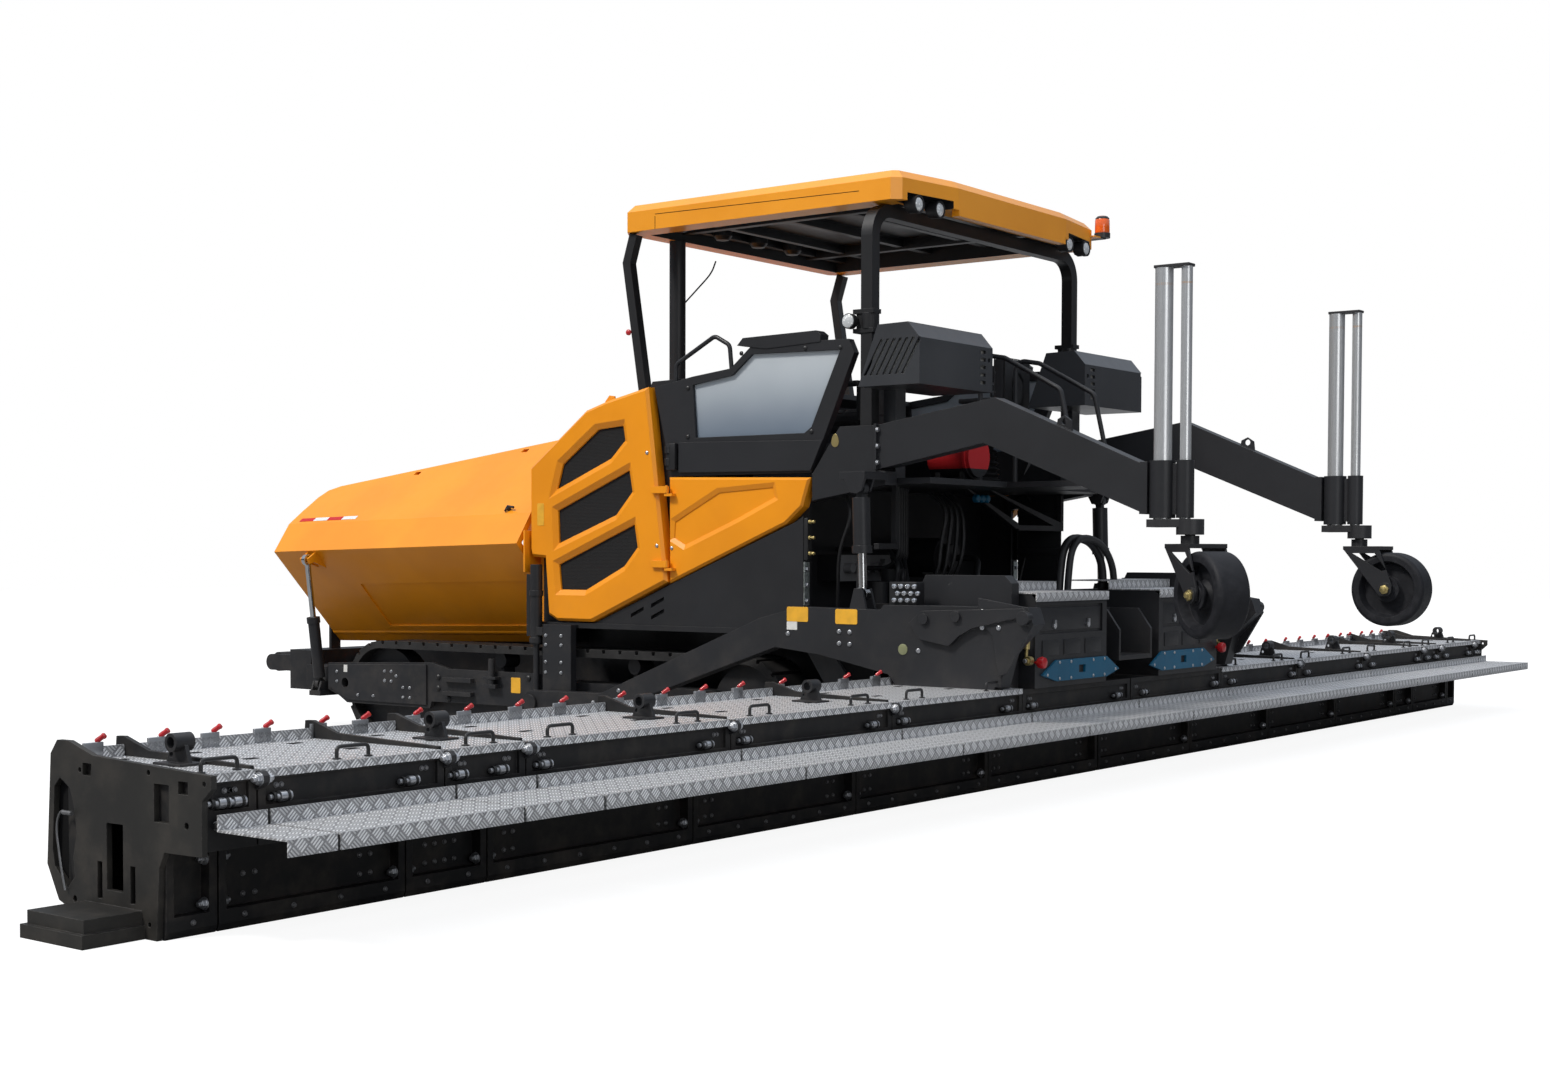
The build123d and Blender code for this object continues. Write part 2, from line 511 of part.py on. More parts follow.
def along_wing(point, r, x0, x1):
    a, b = Vector(*hopper_line(point, x0)), Vector(*hopper_line(point, x1))
    return Plane(origin=a, z_dir=b - a).location * (Pos(0, 0, (b - a).length / 2) * Cylinder(r, (b - a).length))


RAM_X = 6540
RAM_EYE, RAM_BASE = (1632, 1464), (1500, 412)
RAM_PIN_R = 20
EYE_LEAD = 6                                  # the wing's ears sit this far ahead of the rod, as they swing back when it opens
PRESS_DEPTH = 14                              # pressed panel in the lower plate
PRESS = (0.17, 0.63, 6220)                    # its lower and upper edge as shares of the plate, and its front end


def rim_z(x):
    """Height of the lid's upper edge."""
    return RIM_FRONT_Z + (WING_FRONT - x) * RIM_RISE


def along_hopper(section, x0, x1):
    """A section in Y and Z swept from station x0 back to x1 along the climbing hopper."""
    face = make_face(Polyline(*[hopper_line(p, x0) for p in section], close=True))
    return extrude(face, amount=math.hypot(x0 - x1, (x0 - x1) * WING_RISE), dir=(-1, 0, WING_RISE))


def wing():
    """Hopper side: sloping lower plate and a creased lid that leans inwards, hinged along its lower edge."""
    body = along_hopper(strip([WING_LIP, KNUCKLE, WING_CREASE, WING_TOP], WING_T), WING_FRONT, WING_REAR)
    ahead, behind = WING_FRONT + 100, WING_REAR - 100
    body -= slab([(behind, rim_z(behind)), (WING_FRONT - 170, rim_z(WING_FRONT - 170)), (WING_FRONT - 62, 2070),
                  (WING_FRONT - 18, 2010), (WING_FRONT - 4, 1900), (ahead, 1900), (ahead, 3200), (behind, 3200)], 0, 2000)
    (y0, z0), (y1, z1) = WING_LIP, KNUCKLE
    reach = math.hypot(y1 - y0, z1 - z0)
    out = ((z1 - z0) / reach, -(y1 - y0) / reach)
    edge = [(y0 + (y1 - y0) * t + out[0] * d, z0 + (z1 - z0) * t + out[1] * d)
            for t, d in ((PRESS[0], 5), (PRESS[1], 5), (PRESS[1], -PRESS_DEPTH), (PRESS[0], -PRESS_DEPTH))]
    body -= along_hopper(edge, PRESS[2], WING_REAR - 10)
    for x in (5975, 4886):
        body -= box(x - 32, x + 32, 0, 2000, rim_z(x) - 52, rim_z(x) - 26)
    body += along_wing(WING_HINGE, WING_TUBE_R, WING_REAR + 1, WING_FRONT - 1)
    body -= along_wing(WING_HINGE, WING_PIN_R + FIT, WING_REAR - 10, WING_FRONT + 10)
    x0, x1 = RAM_X + EYE_LEAD - 55, RAM_X + EYE_LEAD + 35
    for x in (x0, x1):
        body += cross([(1436, 1388), (1572, 1535), (RAM_EYE[0] + 32, RAM_EYE[1] + 10), (RAM_EYE[0] + 10, RAM_EYE[1] - 34),
                       (RAM_EYE[0] - 30, RAM_EYE[1] - 20)], x, x + 20)
    body += rod_x(RAM_EYE[0], RAM_EYE[1], RAM_PIN_R, x0, x1 + 20)
    return body


def hopper():
    both("wing", wing())
    barrel, rod = ram((RAM_X, *RAM_BASE), (RAM_X, *RAM_EYE), (1, 0, 0), 48, 575, 512, 24, 47, RAM_PIN_R, 40)
    both("wing_barrel", barrel)
    both("wing_rod", rod)


# ---------------------------------------------------------------- tractor, body
HOOD_TOP = [(4060, 2140), (3840, 2330), (3560, 2520), (3280, 2630), (2960, 2714)]


def hood_solid():
    z0 = DECK_Z + DECK_PLATE
    floor = FLOOR_Z - FLOOR_T
    return slab([(1500, z0), (4060, z0)] + HOOD_TOP + [(2960, floor), (1500, floor)], -BODY_HALF, BODY_HALF)


DOOR_AXIS, DOOR_PIN_R = (2690, 1524), 9
DOOR_HINGE_Z = (1420, 1960)


HOOD_SKIN = 30
BAY_WALL_X = 1790                              # bulkhead behind the open rear bay


# Openings of the side door's grilles and the rear panel's pressing, X and Z.
GRILLES = ([(3750, 2200), (3390, 2450), (3140, 2470), (3120, 2360), (3260, 2230), (3810, 2010)],
           [(3800, 1850), (3080, 2140), (3050, 1980), (3210, 1810), (3790, 1600)],
           [(3790, 1440), (3030, 1740), (3000, 1570), (3130, 1430), (3510, 1250), (3770, 1250)])
PRESSING = [(2657, 1640), (2648, 1755), (2240, 1960), (1757, 1990), (1740, 1922), (2067, 1779), (2553, 1588)]


def moulded(points, y, margin, bevel, depth):
    """A pocket behind the outer face at y: a sloping rim round the outline, then the pocket itself."""
    edge = make_face(Polyline(*[(x, y, z) for x, z in points], close=True))
    rim = offset(edge, margin, kind=Kind.INTERSECTION)
    lead = loft([rim.face(), Pos(0, -bevel, 0) * edge])
    return lead + extrude(edge, amount=depth, dir=(0, -1, 0))


def side_door(y0, y1):
    """Moulded engine door with a bevelled border and three grille openings."""
    outline = [(2706, 1320), (3440, 1012), (3790, 1012), (3890, 1060), (3925, 1490), (4060, 1500), (4078, 1560),
               (4078, 2180), (3500, 2596), (3280, 2660), (2890, 2742)]
    door = slab(outline, y0, y1)
    door = chamfer(door.faces().sort_by(Axis.Y)[-1].edges(), 22)
    for points in GRILLES:
        door -= moulded(points, y1, 42, 26, 72)
    return door


def rear_panel(y0, y1):
    panel = slab([(2696, 1310), (2700, 2080), (1432, 2052), (1500, 1850), (1640, 1735)], y0, y1)
    panel = chamfer(panel.faces().sort_by(Axis.Y)[-1].edges(), 16)
    return panel - moulded(PRESSING, y1, 34, 16, 22)


def hood():
    """Yellow top and front skin, and the dark frame under it with its bulkhead and cowl."""
    z0 = DECK_Z + DECK_PLATE
    under = [(4030, z0), (4030, 2125), (3820, 2305), (3545, 2495), (3270, 2602), (2960, 2680)]
    skin = slab([(4060, z0)] + HOOD_TOP + under[::-1], -BODY_HALF, BODY_HALF)
    node("hood", skin)
    floor = FLOOR_Z - FLOOR_T
    side = slab([(1500, z0)] + [(4030, z0)] + under[1:] + [(2960, floor), (1500, floor)], BODY_HALF - HOOD_SKIN, BODY_HALF)
    wall = box(BAY_WALL_X, BAY_WALL_X + 24, -BODY_HALF + HOOD_SKIN - 1, BODY_HALF - HOOD_SKIN + 1, z0, floor)
    cowl = slab([(2565, floor), (2960, floor), (2960, 2730), (2930, 2790), (2500, 2800), (2490, 2760), (2565, 2700)],
                -BODY_HALF, BODY_HALF)
    cowl -= slab([(2600, floor - 1), (2925, floor - 1), (2925, 2690), (2600, 2690)], -BODY_HALF + 40, BODY_HALF - 40)
    node("dash_cowl", cowl)
    node("body_frame", side + right(side) + wall)
    node("engine", box(2000, 3500, -500, 500, z0, 1900))
    t0, t1 = BODY_HALF, BODY_HALF + PANEL_T
    wall = slab([(1500, z0), (3440, z0), (2696, 1300), (1556, 1750), (1500, 1785)], t0, t1 - 20)
    for x, z in ((2884, 1038), (2884, 1126), (3080, 1050)):
        wall -= slab([(x, z), (x - 125, z + 56), (x - 125, z + 84), (x, z + 28)], t0 + 30, t1)
    node("side_walls", wall, right(wall))
    door = side_door(t0 + PANEL_GAP, t1 + 20)
    rear = rear_panel(t0, t1)
    for z in DOOR_HINGE_Z:
        rear += box(2630, DOOR_AXIS[0] + 12, t1 - 1, DOOR_AXIS[1] + 12, z - 20, z)
        rear += rod_z(*DOOR_AXIS, DOOR_PIN_R, z, z + 60)
        reach = box(DOOR_AXIS[0], 2830, t1 + 19, DOOR_AXIS[1] + 12, z + 4, z + 54)
        reach += rod_z(*DOOR_AXIS, 18, z + 4, z + 54)
        door += reach - rod_z(*DOOR_AXIS, DOOR_PIN_R + FIT, z, z + 60)
    node("rear_panels", rear, right(rear))
    both("side_door", door)


GLASS = [(2470, 2360), (2500, 2740), (2140, 2790), (1960, 2930), (1200, 2915), (1440, 2400), (1500, 2360)]


TOWER_TOP = 2392
STAIR_HALF = 250                               # half the distance between the rear handrails


def tower():
    """Bracket plate that carries the support-wheel beam and the screed's lift cylinder."""
    y0, y1 = POST_Y - 80, POST_Y + 60
    body = slab([(1500, 1880), (1380, 1900), (820, 1990), (820, 2080), (900, 2090), (900, TOWER_TOP), (1195, TOWER_TOP),
                 (1420, 2080), (1500, 2080)], y0, y1)
    body -= box(1425, 1600, BODY_HALF, y1 + 1, 1700, 2100)
    shelf = box(800, 1000, y1, LIFT_Y + 62, 2020, 2070)
    for y in (LIFT_Y - 62, LIFT_Y + 42):
        shelf += slab([(800, 2020), (960, 2020), (LIFT_X + 60, LIFT_TOP_Z - 30), (LIFT_X + 10, LIFT_TOP_Z - 34),
                       (LIFT_X - 20, LIFT_TOP_Z - 20)], y, y + 20)
    shelf += rod_y(LIFT_X + 20, LIFT_TOP_Z, LIFT_PIN_R, LIFT_Y - 62, LIFT_Y + 62)
    return body + shelf


def cabin():
    half = BODY_HALF - 80
    floor = plan([(560, -half), (2560, -half), (2560, half), (560, half), (560, STAIR_HALF + 60), (-60, STAIR_HALF + 60),
                  (-60, -STAIR_HALF - 60), (560, -STAIR_HALF - 60)], FLOOR_Z - FLOOR_T, FLOOR_Z)
    for y in (-STAIR_HALF, STAIR_HALF):
        floor += pipe([(820, y, FLOOR_Z - 10), (820, y, 2960), (620, y, 2925), (170, y, 2680), (20, y, FLOOR_Z - 10)], 17, 70)
    node("floor_plate", floor)
    t0 = BODY_HALF
    frame = slab([(2600, 2086), (2694, 2086), (2860, 2740), (2500, 2800), (2150, 2840), (1950, 3000),
                  (1130, 2985), (1085, 2890), (1440, 2086)], t0, t0 + 60)
    frame -= slab(GLASS, t0 - 1, t0 + 80)
    frame += slab([(2611, 2330), (1330, 2305), (1432, 2100), (2611, 2112)], t0 + 59, t0 + PANEL_T - 6)
    y = t0 + 20
    frame += pipe([(2690, y, 2740), (2684, y, 2901), (2325, y, 3083), (2190, y, 3011), (2170, y, 2820)], 16, 55)
    frame += slab([(1367, 2980), (1361, 3030), (1400, 3059), (2037, 3047), (2089, 2996), (1832, 2960)], t0 - 30, t0 + 66)
    glass = slab(GLASS, t0 + 26, t0 + 34)
    node("window_frames", frame, right(frame))
    node("side_windows", glass, right(glass))
    plate = tower()
    node("towers", plate, right(plate))
    seats = []
    for y in (-900, 900):
        seat = box(1250, 1750, y - 230, y + 230, 2420, 2540)
        seat += box(1180, 1290, y - 220, y + 220, 2420, 3060)
        seat += box(1400, 1600, y - 100, y + 100, FLOOR_Z, 2420)
        seats.append(seat)
    node("seats", *seats)
    desk = box(2300, 2560, -1000, 1000, FLOOR_Z, 2380)
    node("console", desk)


def hydraulics():
    """What the open rear bay shows: tank, valve block, pump, a braced frame under the floor, and hoses."""
    deck, under = DECK_Z + DECK_PLATE, FLOOR_Z - FLOOR_T
    # Tank on two feet on the floor, with a flanged end.
    tank = rod_x(560, FLOOR_Z + 170, 145, 640, 980) + rod_x(560, FLOOR_Z + 170, 158, 668, 690)
    for x in (700, 900):
        tank += box(x, x + 40, 460, 660, FLOOR_Z, FLOOR_Z + 80)
    # Frame under the floor: two hangers, a rail between them and the raking braces.
    x0, x1 = 985, 1025
    frame = cross([(150, under), (110, under), (-600, 1762), (-600, 1722), (-560, 1722)], x0, x1)
    frame += cross([(-180, under), (-230, under), (-1290, 1770), (-1290, 1722), (-1250, 1722)], x0, x1)
    frame += cross([(-600, 1750), (-600, 1710), (-1300, 1710), (-1300, 1750)], x0, x1)
    frame += box(x0, x1, -1300, -1258, 1711, under) + box(x0, x1, 1050, 1090, 1560, under)
    frame += box(x0, x1, 1049, 1300, 1560, 1600)
    # Valve blocks on the bulkhead's rear face and on the deck, and the fan pump.
    block = box(BAY_WALL_X - 200, BAY_WALL_X, 250, 900, 1330, 1520) + box(BAY_WALL_X - 240, BAY_WALL_X - 199, 300, 380, 1360, 1490)
    for i in range(5):
        block += rod_x(430 + i * 100, 1425, 34, BAY_WALL_X - 270, BAY_WALL_X - 199)
    block += box(1120, 1400, 560, 980, deck, 1180) + rod_z(1260, 700, 90, 1179, 1420) + rod_z(1260, 880, 60, 1179, 1330)
    pump = rod_x(-300, 1500, 150, BAY_WALL_X - 330, BAY_WALL_X) + rod_x(-300, 1500, 105, BAY_WALL_X - 420, BAY_WALL_X - 329)
    hoses = Part()
    for i in range(4):
        y, x = 430 + i * 100, 1330 - i * 45
        hoses += pipe([(BAY_WALL_X - 265, y, 1425), (x, y, 1425), (x, y, under)], 17, 110 + i * 12)
    for i in range(3):
        y = 640 + i * 90
        hoses += pipe([(1180, y, 1170), (1180 - i * 20, y, 1330 + i * 60), (1330, y - 160, 1560), (BAY_WALL_X, y - 160, 1560)], 16, 70)
    hoses += pipe([(BAY_WALL_X - 405, -300, 1500), (1160, -300, 1500), (1100, -160, 1300), (1100, -160, deck)], 26, 90)
    node("hydraulics", tank, frame, block + hoses + pump)


def rear_box():
    """Sheet cover over the fans: raked front, cropped rear edge, slanted louvres outside and short ones behind."""
    y0, y1, t = 670, 1600, 14
    outer = slab([(BOX_FRONT, 2640), (800, 3045), (560, 3050), (470, 2945), (470, 2640)], y0, y1)
    outer -= slab([(BOX_FRONT - 18, 2654), (792, 3031), (566, 3036), (484, 2940), (484, 2654)], y0 + t, y1 - t)
    for i in range(7):
        x = 590 + i * 50
        outer -= slab([(x, 2712), (x + 24, 2712), (x - 112, 2946), (x - 136, 2946)], y1 - t - 1, y1 + 1)
    for i in range(5):
        z = 2690 + i * 52
        outer -= box(460, 490, y0 + 90, y0 + 160, z, z + 24)
    outer -= Pos(470, y0 + 46, 2860) * Rot(0, 90, 0) * Cylinder(16, 60)
    return outer + box(850, 950, 1180, 1300, FLOOR_Z, 2641)


BOX_FRONT = 955


def rear_beam():
    """Cranked box beam with a bolted front flange, a lifting eye, and the sleeves at its end."""
    y0, y1 = POST_Y - 70, POST_Y + 60
    flange = box(880, 900, POST_Y - 80, POST_Y + 84, 2092, 2400)
    eye = slab([(-560, 2262), (-440, 2315), (-452, EYE_Z + 16), (-500, EYE_Z + 38), (-548, EYE_Z + 6)], POST_Y - 8, POST_Y + 8)
    eye -= rod_y(-500, EYE_Z, EYE_R, POST_Y - 9, POST_Y + 9)
    beam = slab([(900, 2390), (-20, 2535), (-1050, 2090), (-1050, 1790), (60, 2245), (900, 2092)], y0, y1)
    xb, rb = ROD_BIG
    xs, rs = ROD_SMALL
    beam += flange + eye
    beam += box(-1100, -1049, y0, y1, 1775, 2095)
    beam += rod_z(xb, POST_Y, rb + 24, SLEEVE_BOTTOM, SLEEVE_TOP) + rod_z(xs, POST_Y, rs + 20, SLEEVE_BOTTOM, SLEEVE_TOP)
    beam += box(xs, xb, POST_Y - 20, POST_Y + 20, SLEEVE_BOTTOM + 20, SLEEVE_TOP - 20)
    beam -= rod_z(xb, POST_Y, rb + FIT, SLEEVE_BOTTOM - 1, SLEEVE_TOP + 1)
    beam -= rod_z(xs, POST_Y, rs + FIT, SLEEVE_BOTTOM - 1, SLEEVE_TOP + 1)
    return beam


def post():
    """Twin chrome tubes tied by a cap above and the swivel bracket below; they slide in the sleeves."""
    xb, rb = ROD_BIG
    xs, rs = ROD_SMALL
    foot_z = SLEEVE_BOTTOM - 56
    body = rod_z(xb, POST_Y, rb, foot_z, ROD_TOP) + rod_z(xs, POST_Y, rs, foot_z, ROD_TOP)
    body += box(xs - 30, xb + 50, POST_Y - 45, POST_Y + 45, ROD_TOP - 1, ROD_TOP + 16)
    body += box(SWIVEL_X - 40, xb + 70, POST_Y - 75, POST_Y + 75, foot_z, SLEEVE_BOTTOM - 8)
    body += rod_z(SWIVEL_X, POST_Y, 84, foot_z - 46, SLEEVE_BOTTOM - 8)
    body -= rod_z(SWIVEL_X, POST_Y, NECK_R + FIT, foot_z - 50, foot_z + 20)
    return body


EYE_R, EYE_Z = 22, 2366                        # hole of the lifting eyes on the beams
NECK_R, AXLE_R = 32, 26
FORK_TOP = 1592


def fork(yaw):
    foot_z = SLEEVE_BOTTOM - 56
    hub_x = SWIVEL_X - TRAIL
    body = rod_z(SWIVEL_X, 0, NECK_R, FORK_TOP - 4, foot_z + 16) + rod_z(SWIVEL_X, 0, 56, FORK_TOP - 4, foot_z - 52)
    body += box(SWIVEL_X - 200, SWIVEL_X + 70, -134, 134, FORK_TOP - 26, FORK_TOP)
    for y in (-134, 120):
        leg = slab([(SWIVEL_X - 190, FORK_TOP - 20), (SWIVEL_X + 70, FORK_TOP - 20), (hub_x + 40, WHEEL_Z - 50),
                    (hub_x - 40, WHEEL_Z - 30), (hub_x - 46, WHEEL_Z + 30)], y, y + 14)
        body += leg - slab([(SWIVEL_X - 160, FORK_TOP - 50), (SWIVEL_X + 6, FORK_TOP - 50), (hub_x + 30, WHEEL_Z + 130),
                            (hub_x - 6, WHEEL_Z + 140)], y - 1, y + 15)
    body += rod_y(hub_x, WHEEL_Z, AXLE_R, -134, 134)
    body += rod_y(hub_x, WHEEL_Z, 48, -150, -134) + rod_y(hub_x, WHEEL_Z, 48, 134, 150)
    return turned(body, yaw)


def wheel(yaw):
    hub_x = SWIVEL_X - TRAIL
    half = WHEEL_W / 2
    body = rod_y(hub_x, WHEEL_Z, WHEEL_R, -half, half)
    body = fillet(body.edges().filter_by(GeomType.CIRCLE), 30)
    for side in (-1, 1):
        dish = Pos(hub_x, side * (half - 31), WHEEL_Z) * Rot(90 * side, 0, 0) * Cone(200, 178, 64)
        body -= dish
        body += Pos(hub_x, side * (half - 48), WHEEL_Z) * Rot(90 * side, 0, 0) * Cone(62, 96, 34)
    body += rod_y(hub_x, WHEEL_Z, 60, -half, half) + rod_y(hub_x, WHEEL_Z, 88, -half + 6, -half + 20)
    body += rod_y(hub_x, WHEEL_Z, 88, half - 20, half - 6)
    body -= rod_y(hub_x, WHEEL_Z, AXLE_R + FIT, -half - 1, half + 1)
    return turned(body, yaw)


def turned(shape, yaw):
    """Built in the middle plane, turned about the swivel axis."""
    return Pos(SWIVEL_X, 0, 0) * Rot(0, 0, yaw) * Pos(-SWIVEL_X, 0, 0) * shape


def support_wheels():
    beam = rear_beam()
    node("rear_beams", beam, right(beam))
    both("post", post())
    for side, yaw, name in ((1, CASTER_YAW[0], "left"), (-1, CASTER_YAW[1], "right")):
        node("fork_" + name, Pos(0, side * POST_Y, 0) * fork(yaw))
        node("wheel_" + name, Pos(0, side * POST_Y, 0) * wheel(yaw))


def canopy():
    half = ROOF_HALF
    roof = plan([(ROOF_REAR, -770), (ROOF_REAR, 770), (ROOF_REAR + 90, 1340), (ROOF_REAR + 150, half), (3180, half),
                 (ROOF_FRONT, 1290), (ROOF_FRONT, -1290), (3180, -half), (ROOF_REAR + 150, -half),
                 (ROOF_REAR + 90, -1340)], ROOF_Z0, ROOF_Z1)
    roof = chamfer(roof.faces().sort_by(Axis.Z)[-1].edges(), 56)
    roof -= plan([(900, -1200), (900, 1200), (3120, 1200), (3120, -1200)], ROOF_Z0 - 1, ROOF_Z1 - 34)
    for y in (LAMP_Y0, -LAMP_Y1):
        roof -= box(ROOF_REAR - 1, ROOF_REAR + 170, y, y + LAMP_Y1 - LAMP_Y0, ROOF_Z0 - 1, ROOF_Z0 + 52)
    roof += box(ROOF_REAR, ROOF_REAR + 60, -LAMP_Y0 + 60, LAMP_Y0 - 60, 3864, ROOF_Z0 + 1)
    # Pairs of work lamps in the rear corners and the beacon's bracket, base and glass.
    for y in (922, 1188, -922, -1188):
        lamp = rod_x(y, 3890, 56, ROOF_REAR + 64, ROOF_REAR + 128) + rod_x(y, 3890, 44, ROOF_REAR + 127, ROOF_REAR + 148)
        roof += lamp + box(ROOF_REAR + 110, ROOF_REAR + 172, y - 16, y + 16, 3890, 3944)
    bx, by = ROOF_REAR + 60, -ROOF_HALF - 65
    roof += box(bx - 20, bx + 130, by - 22, by + 160, 3996, 4006)
    roof += rod_z(bx, by, 62, 4005, 4042) + rod_z(bx, by, 54, 4041, 4160)
    roof += Pos(bx, by, 4166) * Cone(54, 40, 14)
    node("canopy_roof", roof)
    posts = []
    block = hood_solid()
    for y in (1300, -1370):
        post = slab(strip([(3070, 2600), (3250, 3690), (3180, ROOF_Z0)], 72), y, y + 70)
        post &= box(2000, 4000, -1600, 1600, 2000, ROOF_Z0)
        posts.append(post - block)
    foot = TOWER_TOP
    hoop = box(BOX_FRONT, BOX_FRONT + 90, -1440, 1440, foot, ROOF_Z0)
    hoop = fillet(hoop.edges().filter_by(Axis.X).group_by(Axis.Z)[-1], 230)
    gap = box(BOX_FRONT - 5, BOX_FRONT + 95, -1350, 1350, foot - 1, ROOF_Z0 - 90)
    gap = fillet(gap.edges().filter_by(Axis.X).group_by(Axis.Z)[-1], 140)
    posts.append(hoop - gap)
    # Clamps that hold the hoop's legs, and the strut between the front posts and the roof.
    for side in (1, -1):
        clamp = box(BOX_FRONT - 16, BOX_FRONT + 150, 1352, 1448, 3020, 3050) + box(BOX_FRONT - 16, BOX_FRONT + 150, 1352, 1448, 3150, 3180)
        clamp += box(BOX_FRONT + 89, BOX_FRONT + 130, 1366, 1434, 3020, 3180) + rod_z(BOX_FRONT + 45, 1395, 60, 3048, 3152)
        posts[-1] += clamp if side > 0 else right(clamp)
    posts[-1] += rod_y(BOX_FRONT + 160, 3100, 14, 1400, 1470) + box(BOX_FRONT + 129, BOX_FRONT + 176, 1386, 1414, 3086, 3114)
    posts[-1] += Pos(BOX_FRONT + 160, 1470, 3100) * Rot(90, 0, 0) * Cylinder(52, 44)
    node("canopy_posts", *posts)
    node("exhaust", rod_z(3150, 850, 62, 2500, ROOF_Z0) - block)


def lift():
    base = (LIFT_X + 20, LIFT_Y, LIFT_TOP_Z)
    barrel, rod = ram(base, (LIFT_X, LIFT_Y, LIFT_EYE_Z), (0, 1, 0), 60, 430, 330, 29, 46, LIFT_PIN_R, 50)
    both("lift_barrel", barrel)
    both("lift_rod", rod)


def tow_guide():
    y0, y1 = 1500, 1560
    plate = slab([(GUIDE_REAR, 356), (GUIDE_REAR + 60, 300), (GUIDE_FRONT - 60, 300), (GUIDE_FRONT, 356), (GUIDE_FRONT, 985),
                  (GUIDE_REAR, 985)], y0, y1)
    plate += box(GUIDE_REAR, GUIDE_FRONT, 1480, y0, DECK_Z, 985)
    # Levelling cylinder in front of the guide, held by two brackets, and the upright scale.
    x, y = GUIDE_FRONT + 96, y0 + 30
    plate += rod_z(x, y, 46, 830, 1440) + rod_z(x, y, 24, 420, 831) + rod_z(x, y, 54, 1200, 1240) + rod_z(x, y, 54, 840, 880)
    plate += box(GUIDE_FRONT - 1, x, y - 34, y + 34, 900, 960) + box(GUIDE_FRONT - 1, x, y - 28, y + 28, 440, 480)
    plate += rod_y(x, 440, 40, y - 28, y + 28)
    plate += box(x + 30, x + 82, y + 8, y + 22, 890, 1365) + box(x + 20, x + 60, y - 4, y + 9, 1210, 1235)
    plate += rod_y(TOW_X, TOW_Z, TOW_PIN_R, y1, ARM_OUT + 24) + rod_y(TOW_X, TOW_Z, 62, ARM_OUT + 8, ARM_OUT + 24)
    plate += rod_y(TOW_X, TOW_Z, 62, y1, ARM_IN - 8)
    return plate


def build():
    screed()
    hull()
    both("track", track())
    frame = track_frame()
    node("track_frames", frame, right(frame))
    auger()
    hopper()
    hood()
    cabin()
    box_left = rear_box()
    node("rear_boxes", box_left, right(box_left))
    hydraulics()
    support_wheels()
    canopy()
    lift()
    guide = tow_guide()
    node("tow_guides", guide, right(guide))


def finish():
    os.makedirs("parts", exist_ok=True)
    for name, shapes in NODES.items():
        placed = [Pos(-X_MID, 0, 0) * s for s in shapes]
        solids = [solid for s in placed for solid in s.solids()]
        whole = Compound(solids) if len(solids) > 1 else solids[0]
        export_step(whole, f"parts/{name}.step")


if __name__ == "__main__":
    build()
    finish()
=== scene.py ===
"""The looks of a tracked asphalt paver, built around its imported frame.

Metres, +X forward, +Y left, +Z up. Stations along X count from the screed's rear bottom edge.
"""
import json
import math

import bmesh
import bpy
from mathutils import Matrix, Vector


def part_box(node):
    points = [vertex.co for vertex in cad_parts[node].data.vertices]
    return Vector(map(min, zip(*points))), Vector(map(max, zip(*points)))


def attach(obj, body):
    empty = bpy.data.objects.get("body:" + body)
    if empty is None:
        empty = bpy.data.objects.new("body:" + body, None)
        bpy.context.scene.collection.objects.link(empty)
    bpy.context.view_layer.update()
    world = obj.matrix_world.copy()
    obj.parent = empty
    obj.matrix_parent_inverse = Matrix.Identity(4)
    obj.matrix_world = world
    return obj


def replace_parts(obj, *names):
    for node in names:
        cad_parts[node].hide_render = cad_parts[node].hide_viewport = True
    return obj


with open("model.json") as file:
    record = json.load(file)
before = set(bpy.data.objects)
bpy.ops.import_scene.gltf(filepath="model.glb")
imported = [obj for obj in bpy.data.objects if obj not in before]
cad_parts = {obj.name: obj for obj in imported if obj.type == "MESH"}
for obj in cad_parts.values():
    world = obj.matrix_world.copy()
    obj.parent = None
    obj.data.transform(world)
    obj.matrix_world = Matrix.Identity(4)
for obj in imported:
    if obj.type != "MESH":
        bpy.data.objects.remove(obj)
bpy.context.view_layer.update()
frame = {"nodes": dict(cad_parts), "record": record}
SIDES = {"left": 1, "right": -1}


# ---------------------------------------------------------------- places, read from the frame
class Span:
    """The box that one or more CAD nodes fill."""

    def __init__(self, *nodes):
        corners = [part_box(n) for n in nodes]
        self.x0, self.y0, self.z0 = (min(lo[i] for lo, _ in corners) for i in range(3))
        self.x1, self.y1, self.z1 = (max(hi[i] for _, hi in corners) for i in range(3))


SCREED_DEPTH = 0.640
STATION = Span("basic_screed").x1 - SCREED_DEPTH   # the screed's rear bottom edge


def spot(x, y, z):
    """A point given by its station along the machine."""
    return Vector((STATION + x, y, z))


